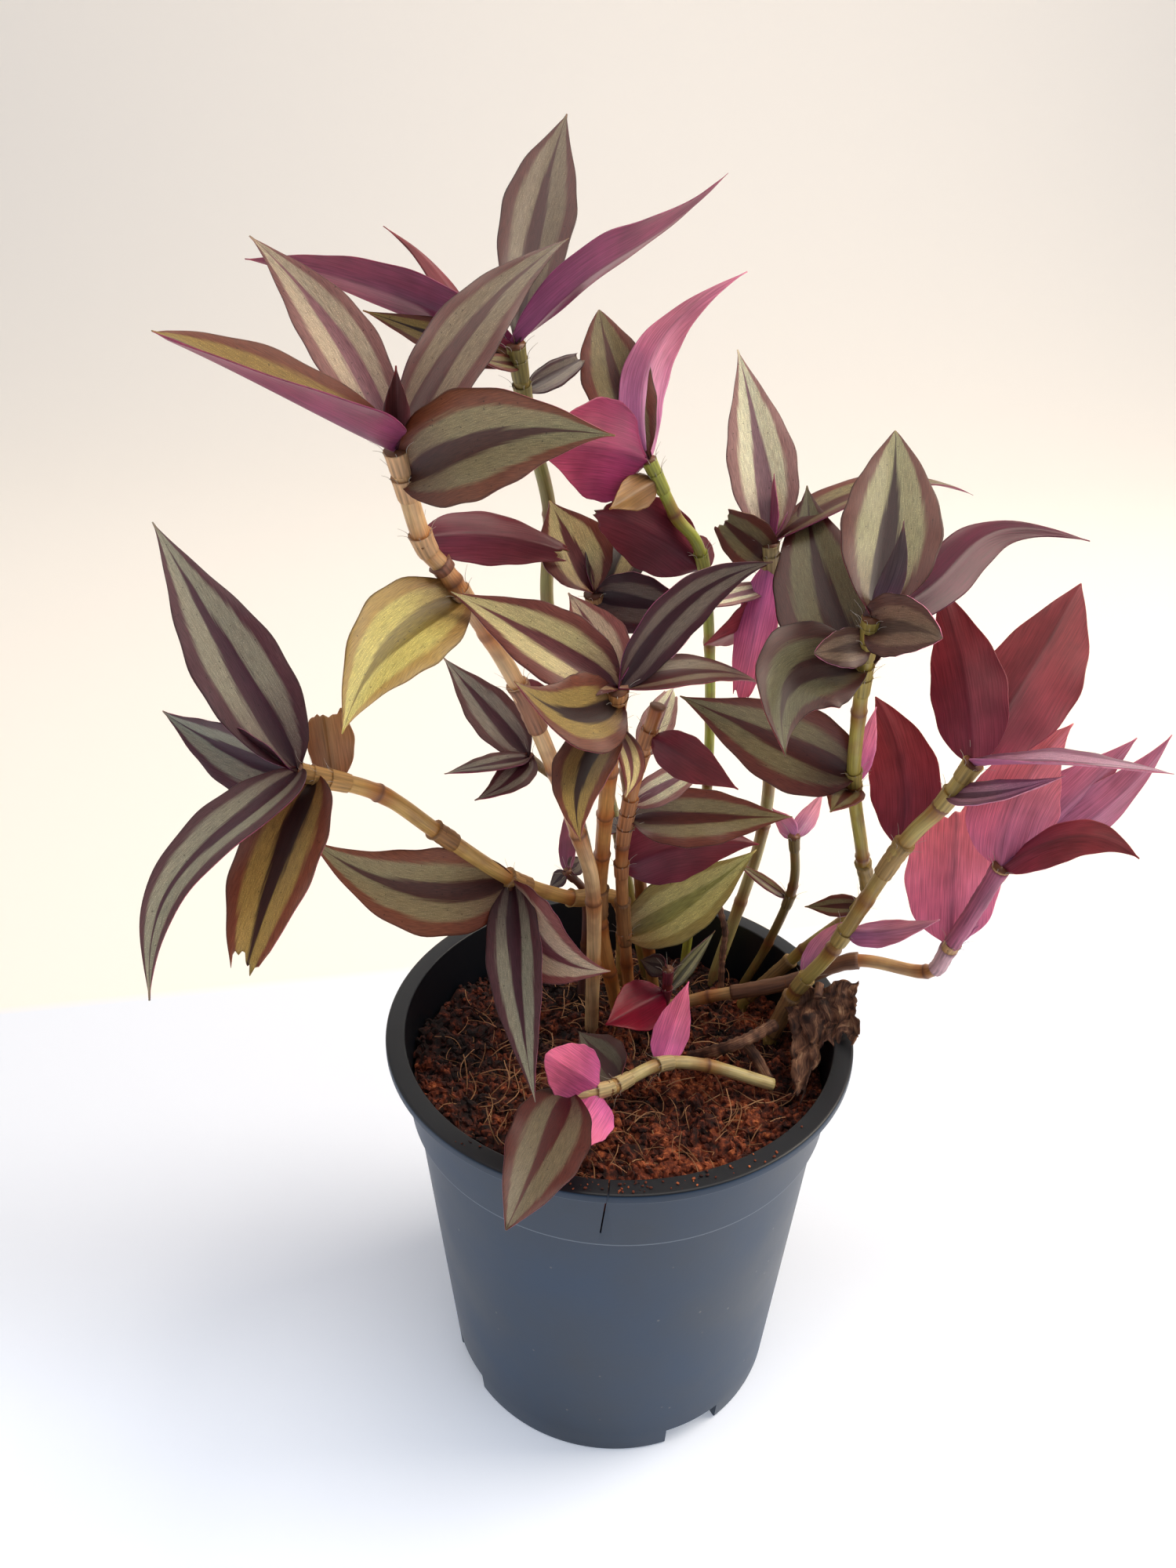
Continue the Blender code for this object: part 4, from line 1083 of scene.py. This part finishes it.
def pot_material():
    """Polypropylene, injection moulded, satin: slate grey with fine scuffs and specks of dust."""
    material, tree, shader = new_material("polypropylene_injection_moulded_satin")
    place = add_node(tree, "ShaderNodeTexCoord")
    axes = add_node(tree, "ShaderNodeSeparateXYZ", {}, {0: place.outputs["Object"]})
    flat = add_node(tree, "ShaderNodeCombineXYZ", {}, {0: axes.outputs[0], 1: axes.outputs[1]})
    radius = add_node(tree, "ShaderNodeVectorMath", {"operation": "LENGTH"}, {0: flat})
    cloud = add_node(tree, "ShaderNodeTexNoise", {},
                     {"Vector": place.outputs["Object"], "Scale": 28, "Detail": 4})
    grain = add_node(tree, "ShaderNodeTexNoise", {},
                     {"Vector": place.outputs["Object"], "Scale": 900, "Detail": 2})
    ramp = add_node(tree, "ShaderNodeMapRange", {},
                    {"Value": cloud.outputs["Fac"], "From Min": 0.35, "From Max": 0.7})
    wall = add_node(tree, "ShaderNodeMix", {"data_type": "RGBA"},
                    {"Factor": ramp, "A": linear("0a2338"), "B": linear("163450")})
    specks = add_node(tree, "ShaderNodeTexVoronoi", {},
                      {"Vector": place.outputs["Object"], "Scale": 140})
    dirt = add_node(tree, "ShaderNodeMapRange", {},
                    {"Value": specks.outputs["Distance"], "From Min": 0.03, "From Max": 0.06,
                     "To Min": 0.5, "To Max": 0})
    dusty = add_node(tree, "ShaderNodeMix", {"data_type": "RGBA"},
                     {"Factor": dirt, "A": wall.outputs["Result"], "B": linear("7c7a74")})
    # Painted shade: inside, above the coir, the wall is painted nearly black. The top of the lip is given the
    # same near-black.
    collar = add_node(tree, "ShaderNodeMath", {"operation": "MULTIPLY_ADD"},
                      {0: axes.outputs[2], 1: 0.0744, 2: 0.04755})
    inside = add_node(tree, "ShaderNodeMath", {"operation": "LESS_THAN"},
                      {0: radius.outputs["Value"], 1: collar})
    above = add_node(tree, "ShaderNodeMath", {"operation": "GREATER_THAN"},
                     {0: axes.outputs[2], 1: 0.0895})
    inside = add_node(tree, "ShaderNodeMath", {"operation": "MULTIPLY"}, {0: inside, 1: above})
    lip = add_node(tree, "ShaderNodeMath", {"operation": "GREATER_THAN"},
                   {0: axes.outputs[2], 1: 0.1107})
    inside = add_node(tree, "ShaderNodeMath", {"operation": "MAXIMUM"}, {0: inside, 1: lip})
    # A painted highlight: a thin pale line along the lower edge of the collar.
    edge = add_node(tree, "ShaderNodeMath", {"operation": "COMPARE"},
                    {0: axes.outputs[2], 1: 0.0897, 2: 0.0004})
    painted_edge_highlight = add_node(tree, "ShaderNodeMix", {"data_type": "RGBA"},
                      {"Factor": edge, "A": dusty.outputs["Result"], "B": linear("55616e")})
    # The near-black of the painted shade inside the pot, also laid on the top of the lip.
    final = add_node(tree, "ShaderNodeMix", {"data_type": "RGBA"},
                     {"Factor": inside, "A": painted_edge_highlight.outputs["Result"], "B": linear("0f141b")})
    tree.links.new(final.outputs["Result"], shader.inputs["Base Color"])
    rough = add_node(tree, "ShaderNodeMapRange", {},
                     {"Value": cloud.outputs["Fac"], "From Min": 0.3, "From Max": 0.7,
                      "To Min": 0.34, "To Max": 0.46})
    tree.links.new(rough.outputs[0], shader.inputs["Roughness"])
    shader.inputs["Specular IOR Level"].default_value = 0.4
    bump = add_node(tree, "ShaderNodeBump", {},
                    {"Height": grain.outputs["Fac"], "Strength": 0.25, "Distance": 0.00004})
    tree.links.new(bump.outputs[0], shader.inputs["Normal"])
    return material




def wall_at(z):
    """The outer radius of the tapering wall at a height."""
    return BASE_RADIUS + (BODY_TOP_RADIUS - BASE_RADIUS) * z / COLLAR_LOW


top = POT_HEIGHT
pot_line = rounded([
    (0, FLOOR, 0), (BASE_RADIUS - WALL, FLOOR, 1.0), (wall_at(8) - WALL, 8, 0),
    (BODY_TOP_RADIUS - WALL, COLLAR_LOW - 3, 0.8),
    (COLLAR_LOW_RADIUS - WALL, COLLAR_LOW, 0.8), (COLLAR_TOP_RADIUS - WALL, top, 0.5),
    (RIM_RADIUS, top, 0.8), (RIM_RADIUS, top - LIP_DEPTH, 0.4),
    (COLLAR_TOP_RADIUS, top - LIP_DEPTH, 0.35), (COLLAR_LOW_RADIUS, COLLAR_LOW, 0.45),
    (BODY_TOP_RADIUS, COLLAR_LOW - 0.2, 0.3), (wall_at(8), 8, 0), (BASE_RADIUS, 0, 1.0), (0, 0, 0)])
pot = turned("pot_fine", pot_line, 192)
split_top = POT_HEIGHT + 1.0
wall_at_split = (COLLAR_TOP_RADIUS + COLLAR_LOW_RADIUS) / 2
cut_away(pot, [
    *[radial_cutter(angle, BASE_RADIUS, NOTCH_WIDTH, 9, -1, NOTCH_HEIGHT) for angle in NOTCH_ANGLES],
    radial_cutter(SPLIT_ANGLE, wall_at_split + 2, SPLIT_WIDTH, 10,
                  split_top - SPLIT_HEIGHT, split_top, -6)])
pot.data.materials.append(pot_material())
pot.data.set_sharp_from_angle(angle=math.radians(40))
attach(pot, "root")
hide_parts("pot")
print("pot:", len(pot.data.polygons), "faces")

# %% [markdown]
# ## The coir
# Coir is the pith and fibre of coconut husk: springy red-brown crumbs and thin straw-coloured
# hairs. A finely lumpy surface makes the body of it. Geometry Nodes then scatter crumbs and
# loose fibres over that surface.

# %% Coir surface
SOIL_LEVEL, SOIL_GAP = 96.0, 0.55


def coir_height(x, y):
    """Height in mm of the coir: heaped at the front and left, with low lumps and crumbs."""
    heap = 8.0 * min(max(0.5 - y / 90, 0), 1) ** 1.5
    left = 3.0 * min(max(-x / 55, 0), 1)
    lumps = math.sin(x * 0.31 + 1.0) * math.cos(y * 0.27 + 0.4)
    lumps += 0.6 * math.sin(x * 0.62 - y * 0.53)
    crumbs = noise.turbulence((x * 0.16, y * 0.16, 3.1), 5, False)
    pores = abs(noise.noise((x * 0.55, y * 0.55, 8.0)))
    return SOIL_LEVEL - 2.9 + heap + left + 0.8 * lumps + 2.3 * crumbs - 2.4 * pores


def coir_material():
    """Coir, loose: deep red-brown crumbs, some bright orange; the gaps between them are painted nearly black
    as shade.
    """
    material, tree, shader = new_material("coir_pith_loose_damp")
    place = add_node(tree, "ShaderNodeTexCoord")
    crumbs = add_node(tree, "ShaderNodeTexNoise", {},
                      {"Vector": place.outputs["Object"], "Scale": 420, "Detail": 5, "Roughness": 0.65})
    lumps = add_node(tree, "ShaderNodeTexNoise", {},
                     {"Vector": place.outputs["Object"], "Scale": 60, "Detail": 3})
    both = add_node(tree, "ShaderNodeMath", {"operation": "MULTIPLY_ADD"},
                    {0: lumps.outputs["Fac"], 1: 0.55, 2: -0.27})
    value = add_node(tree, "ShaderNodeMath", {"operation": "ADD"}, {0: crumbs.outputs["Fac"], 1: both})
    # Painted shade: the coir is darker towards the back left.
    axes = add_node(tree, "ShaderNodeSeparateXYZ", {}, {0: place.outputs["Object"]})
    across = add_node(tree, "ShaderNodeMath", {"operation": "SUBTRACT"},
                      {0: axes.outputs[0], 1: axes.outputs[1]})
    painted_shade_back_left = add_node(tree, "ShaderNodeMapRange", {},
                    {"Value": across, "From Min": -0.06, "From Max": 0.06,
                     "To Min": -0.10, "To Max": 0.03})
    value = add_node(tree, "ShaderNodeMath", {"operation": "ADD"}, {0: value, 1: painted_shade_back_left})
    ramp = add_node(tree, "ShaderNodeValToRGB", {}, {"Fac": value})
    # The darkest stop is the painted shade in the gaps between crumbs.
    stops = ((0.34, "160806"), (0.46, "3e180e"), (0.58, "7e3a20"), (0.74, "cc7444"))
    elements = ramp.color_ramp.elements
    elements.new(0.5)
    elements.new(0.7)
    for element, (level, code) in zip(elements, stops):
        element.position = level
        element.color = linear(code)
    tree.links.new(ramp.outputs["Color"], shader.inputs["Base Color"])
    shader.inputs["Roughness"].default_value = 0.9
    bump = add_node(tree, "ShaderNodeBump", {}, {"Height": value, "Strength": 0.9, "Distance": 0.0006})
    tree.links.new(bump.outputs[0], shader.inputs["Normal"])
    return material


COIR = coir_material()
side_radius = COLLAR_LOW_RADIUS + (COLLAR_TOP_RADIUS - COLLAR_LOW_RADIUS) * 0.3 - WALL - SOIL_GAP
ring_radii = np.concatenate([[0], np.linspace(0.7, side_radius, 74)])
coir_line = [(r, SOIL_LEVEL) for r in ring_radii] + [(side_radius - 0.4, 90.0), (0, 90.0)]
coir = turned("coir_fine", coir_line, 220)
for vert in coir.data.vertices:
    if vert.co.z > 0.095:
        vert.co.z = coir_height(vert.co.x / MM, vert.co.y / MM) * MM
coir.data.materials.append(COIR)
print("coir:", len(coir.data.polygons), "faces")

# %% Scatter on the coir


def scatter_group(name):
    """Geometry Nodes that scatter the children of a collection over a surface's upward faces."""
    group = bpy.data.node_groups.new(name, "GeometryNodeTree")
    face = group.interface
    face.new_socket("Geometry", in_out="INPUT", socket_type="NodeSocketGeometry")
    face.new_socket("Shapes", in_out="INPUT", socket_type="NodeSocketCollection")
    for label in ("Density", "Smallest", "Largest", "Lift", "Tilt", "Reach"):
        face.new_socket(label, in_out="INPUT", socket_type="NodeSocketFloat")
    face.new_socket("Seed", in_out="INPUT", socket_type="NodeSocketInt")
    face.new_socket("Material", in_out="INPUT", socket_type="NodeSocketMaterial")
    face.new_socket("Geometry", in_out="OUTPUT", socket_type="NodeSocketGeometry")
    given = group.nodes.new("NodeGroupInput")
    result = group.nodes.new("NodeGroupOutput")
    normal = add_node(group, "GeometryNodeInputNormal")
    up = add_node(group, "ShaderNodeSeparateXYZ", {}, {0: normal})
    facing = add_node(group, "FunctionNodeCompare", {"data_type": "FLOAT", "operation": "GREATER_THAN"},
                      {"A": up.outputs[2], "B": 0.3})
    place = add_node(group, "GeometryNodeInputPosition")
    flat = add_node(group, "ShaderNodeVectorMath", {"operation": "MULTIPLY"}, {0: place, 1: (1, 1, 0)})
    away = add_node(group, "ShaderNodeVectorMath", {"operation": "LENGTH"}, {0: flat})
    near = add_node(group, "FunctionNodeCompare", {"data_type": "FLOAT", "operation": "LESS_THAN"},
                    {"A": away.outputs["Value"], "B": given.outputs["Reach"]})
    both = add_node(group, "FunctionNodeBooleanMath", {"operation": "AND"}, {0: facing, 1: near})
    points = add_node(group, "GeometryNodeDistributePointsOnFaces", {}, {
        "Mesh": given.outputs["Geometry"], "Selection": both,
        "Density": given.outputs["Density"], "Seed": given.outputs["Seed"]})
    offset = add_node(group, "ShaderNodeCombineXYZ", {}, {2: given.outputs["Lift"]})
    raised = add_node(group, "GeometryNodeSetPosition", {},
                      {"Geometry": points.outputs["Points"], "Offset": offset})
    shapes = add_node(group, "GeometryNodeCollectionInfo", {}, {
        "Collection": given.outputs["Shapes"], "Separate Children": True, "Reset Children": True})
    lowest = add_node(group, "ShaderNodeMath", {"operation": "MULTIPLY"},
                      {0: given.outputs["Tilt"], 1: -1.0})
    low = add_node(group, "ShaderNodeCombineXYZ", {}, {0: lowest, 1: lowest, 2: 0.0})
    high = add_node(group, "ShaderNodeCombineXYZ", {},
                    {0: given.outputs["Tilt"], 1: given.outputs["Tilt"], 2: 6.283})
    turn = add_node(group, "FunctionNodeRandomValue", {"data_type": "FLOAT_VECTOR"},
                    {0: low, 1: high, "Seed": given.outputs["Seed"]})
    size = add_node(group, "FunctionNodeRandomValue", {"data_type": "FLOAT"},
                    {2: given.outputs["Smallest"], 3: given.outputs["Largest"],
                     "Seed": given.outputs["Seed"]})
    copies = add_node(group, "GeometryNodeInstanceOnPoints", {}, {
        "Points": raised, "Instance": shapes, "Pick Instance": True,
        "Rotation": turn.outputs[0], "Scale": size.outputs[1]})
    real = add_node(group, "GeometryNodeRealizeInstances", {}, {0: copies})
    painted = add_node(group, "GeometryNodeSetMaterial", {},
                       {"Geometry": real, "Material": given.outputs["Material"]})
    group.links.new(painted.outputs[0], result.inputs[0])
    return group


def scatter(name, group, ground, shapes, values):
    """The scattered pieces as one plain mesh object."""
    obj = bpy.data.objects.new(name, ground.data.copy())
    bpy.context.scene.collection.objects.link(obj)
    modifier = obj.modifiers.new("scatter", "NODES")
    modifier.node_group = group
    sockets = {item.name: item.identifier for item in group.interface.items_tree
               if item.in_out == "INPUT"}
    modifier[sockets["Shapes"]] = shapes
    for label, value in values.items():
        modifier[sockets[label]] = value
    bpy.context.view_layer.update()
    graph = bpy.context.evaluated_depsgraph_get()
    mesh = bpy.data.meshes.new_from_object(obj.evaluated_get(graph))
    obj.modifiers.clear()
    obj.data = mesh
    print(name, len(mesh.polygons), "faces")
    return obj


def hidden_collection(name):
    """A collection for shapes that are only copied."""
    return bpy.data.collections.new(name)


def crumb_shapes():
    """Eight rough crumbs of unit size, each an uneven icosphere of twenty faces."""
    shapes = hidden_collection("crumb_shapes")
    for k in range(8):
        bm = bmesh.new()
        bmesh.ops.create_icosphere(bm, subdivisions=1, radius=0.5)
        for vert in bm.verts:
            bump = 0.75 + 0.5 * noise.noise(vert.co * 3 + Vector((k * 7.3, 0, 0)))
            vert.co = vert.co * bump
            vert.co.x *= 1 + 0.9 * (k % 3) / 2
            vert.co.z *= 0.7
        mesh = bpy.data.meshes.new(f"crumb_{k}")
        bm.to_mesh(mesh)
        bm.free()
        shapes.objects.link(bpy.data.objects.new(f"crumb_{k}", mesh))
    return shapes


def fibre_shapes():
    """Eight curled hairs of unit length, each a thin three-sided tube."""
    shapes = hidden_collection("fibre_shapes")
    for k in range(8):
        s = np.linspace(0, 1, 9)
        bend = 0.10 + 0.05 * (k % 4)
        line = np.stack([s - 0.5, bend * np.sin(s * (3 + k % 3) + k), 0.10 * np.sin(s * 5 + 2 * k)],
                        axis=-1)
        _, first, second = path_frames(line)
        turn = np.arange(3) * 2 * np.pi / 3
        rings = line[:, None] + 0.009 * (np.cos(turn)[None, :, None] * first[:, None]
                                         + np.sin(turn)[None, :, None] * second[:, None])
        index = np.arange(27).reshape(9, 3)
        after = np.roll(index, -1, axis=1)
        faces = np.stack([index[:-1], index[1:], after[1:], after[:-1]], axis=-1).reshape(-1, 4)
        mesh = bpy.data.meshes.new(f"fibre_{k}")
        mesh.from_pydata(rings.reshape(-1, 3).tolist(), [],
                         faces.tolist() + [[0, 1, 2], [26, 25, 24]])
        shapes.objects.link(bpy.data.objects.new(f"fibre_{k}", mesh))
    return shapes


def fibre_material():
    """Coconut hair: pale straw to rust."""
    material, tree, shader = new_material("coir_fibre_straw")
    place = add_node(tree, "ShaderNodeTexCoord")
    tone = add_node(tree, "ShaderNodeTexNoise", {},
                    {"Vector": place.outputs["Object"], "Scale": 90, "Detail": 1})
    final = add_node(tree, "ShaderNodeMix", {"data_type": "RGBA"},
                     {"Factor": tone.outputs["Fac"], "A": linear("7c4426"), "B": linear("d0a070")})
    tree.links.new(final.outputs["Result"], shader.inputs["Base Color"])
    shader.inputs["Roughness"].default_value = 0.7
    return material


group = scatter_group("scatter_on_coir")
crumbs = scatter("coir_crumbs", group, coir, crumb_shapes(), {
    "Density": 340000.0, "Smallest": 0.0008, "Largest": 0.0036, "Lift": 0.0003, "Tilt": 3.1,
    "Reach": 0.0528, "Seed": 4, "Material": COIR})
fibres = scatter("coir_fibres", group, coir, fibre_shapes(), {
    "Density": 50000.0, "Smallest": 0.005, "Largest": 0.018, "Lift": 0.0006, "Tilt": 0.4,
    "Reach": 0.0465, "Seed": 9, "Material": fibre_material()})
bm = bmesh.new()
dice = np.random.default_rng(7)
for _ in range(70):
    turn = math.radians(dice.normal(-88, 20))
    reach = dice.uniform(55.6, 59.2)
    size = dice.uniform(0.3, 1.1)
    place = Vector((reach * math.cos(turn), reach * math.sin(turn), POT_HEIGHT + size * 0.2)) * MM
    around = Matrix.Rotation(dice.uniform(0, 6.2), 4, "Z") @ Matrix.Diagonal((size, size * 0.7, size * 0.5, 1))
    bmesh.ops.create_icosphere(bm, subdivisions=1, radius=0.5 * MM,
                               matrix=Matrix.Translation(place) @ around)
lip_mesh = bpy.data.meshes.new("coir_on_lip")
bm.to_mesh(lip_mesh)
bm.free()
lip_mesh.materials.append(COIR)
lip_crumbs = bpy.data.objects.new("coir_on_lip", lip_mesh)
bpy.context.scene.collection.objects.link(lip_crumbs)
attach(coir, "root")
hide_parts("soil")
for obj in (crumbs, fibres, lip_crumbs):
    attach(obj, "root")

# %% [markdown]
# ## Studio
# A pale floor, bright soft light from behind and to the right, and a gentle fill from the front.

# %% Floor, light and camera
floor_line = [(-3.0, 0.0), (1.0, 0.0)]
floor_line += [(1.0 + 0.6 * math.sin(a), 0.6 - 0.6 * math.cos(a)) for a in np.linspace(0.1, 1.57, 16)]
floor_line += [(1.6, 3.0)]
corners = [(x, y, z) for y, z in floor_line for x in (-4.0, 4.0)]
strips = [(2 * k, 2 * k + 1, 2 * k + 3, 2 * k + 2) for k in range(len(floor_line) - 1)]
floor_mesh = bpy.data.meshes.new("floor")
floor_mesh.from_pydata(corners, [], strips)
floor_mesh.polygons.foreach_set("use_smooth", np.ones(len(strips), bool))
floor = bpy.data.objects.new("floor", floor_mesh)
bpy.context.scene.collection.objects.link(floor)
floor_material, tree, shader = new_material("studio_floor_matt")
place = add_node(tree, "ShaderNodeTexCoord")
axes = add_node(tree, "ShaderNodeSeparateXYZ", {}, {0: place.outputs["Object"]})
slope = add_node(tree, "ShaderNodeMath", {"operation": "MULTIPLY_ADD"},
                 {0: axes.outputs[0], 1: -0.188, 2: axes.outputs[1]})
far = add_node(tree, "ShaderNodeMapRange", {}, {"Value": slope, "From Min": 0.178, "From Max": 0.184})
tone = add_node(tree, "ShaderNodeMix", {"data_type": "RGBA"},
                {"Factor": far, "A": linear("e8eef8"), "B": linear("f7f1e7")})
tree.links.new(tone.outputs["Result"], shader.inputs["Base Color"])
shader.inputs["Roughness"].default_value = 0.6
# Painted light: the floor itself glows, a little more towards the front than behind.
near = add_node(tree, "ShaderNodeMapRange", {"interpolation_type": "SMOOTHSTEP"},
                {"Value": axes.outputs[1], "From Min": 0.03, "From Max": -0.06,
                 "To Min": 0.05, "To Max": 0.42})
tree.links.new(near.outputs[0], shader.inputs["Emission Strength"])
shader.inputs["Emission Color"].default_value = linear("e6edf8")
floor_mesh.materials.append(floor_material)

world = bpy.data.worlds.new("studio")
world.use_nodes = True
# The room is brighter and warmer behind the plant than in front of it.
background = world.node_tree.nodes["Background"]
way = add_node(world.node_tree, "ShaderNodeTexCoord")
parts = add_node(world.node_tree, "ShaderNodeSeparateXYZ", {}, {0: way.outputs["Generated"]})
behind = add_node(world.node_tree, "ShaderNodeMapRange", {"interpolation_type": "SMOOTHSTEP"},
                  {"Value": parts.outputs[1], "From Min": -0.9, "From Max": 0.7})
room = add_node(world.node_tree, "ShaderNodeMix", {"data_type": "RGBA"},
                {"Factor": behind, "A": linear("8a93a4"), "B": linear("fff8ee")})
world.node_tree.links.new(room.outputs["Result"], background.inputs["Color"])
background.inputs["Strength"].default_value = 1.0
bpy.context.scene.world = world


def area_light(name, place, target, size, power, colour):
    """A square soft light aimed at a target, in metres and watts."""
    lamp = bpy.data.lights.new(name, "AREA")
    lamp.size = size
    lamp.energy = power
    lamp.color = linear(colour)[:3]
    obj = bpy.data.objects.new(name, lamp)
    obj.location = place
    obj.rotation_euler = (Vector(target) - Vector(place)).to_track_quat("-Z", "Y").to_euler()
    bpy.context.scene.collection.objects.link(obj)
    return obj


area_light("key", (0.9, 0.2, 1.0), (0, 0, 0.12), 0.7, 13, "fff2e0")
area_light("wall_wash", (0.1, 0.2, 2.2), (-0.2, 1.5, 0.45), 1.2, 14, "fff4ea")

camera_data = bpy.data.cameras.new("camera")
camera_data.lens = 26.73
camera_data.sensor_width = 36
camera_data.clip_start = 0.01
camera = bpy.data.objects.new("camera", camera_data)
camera.location = (-0.0087, -0.2391, 0.3064)
tilt = Euler((math.radians(90 - 27.99), 0, 0)).to_matrix()
camera.rotation_euler = (tilt @ Matrix.Rotation(math.radians(0.65), 3, "Z")).to_euler()
bpy.context.scene.collection.objects.link(camera)
bpy.context.scene.camera = camera
bpy.context.scene.view_settings.view_transform = "Standard"
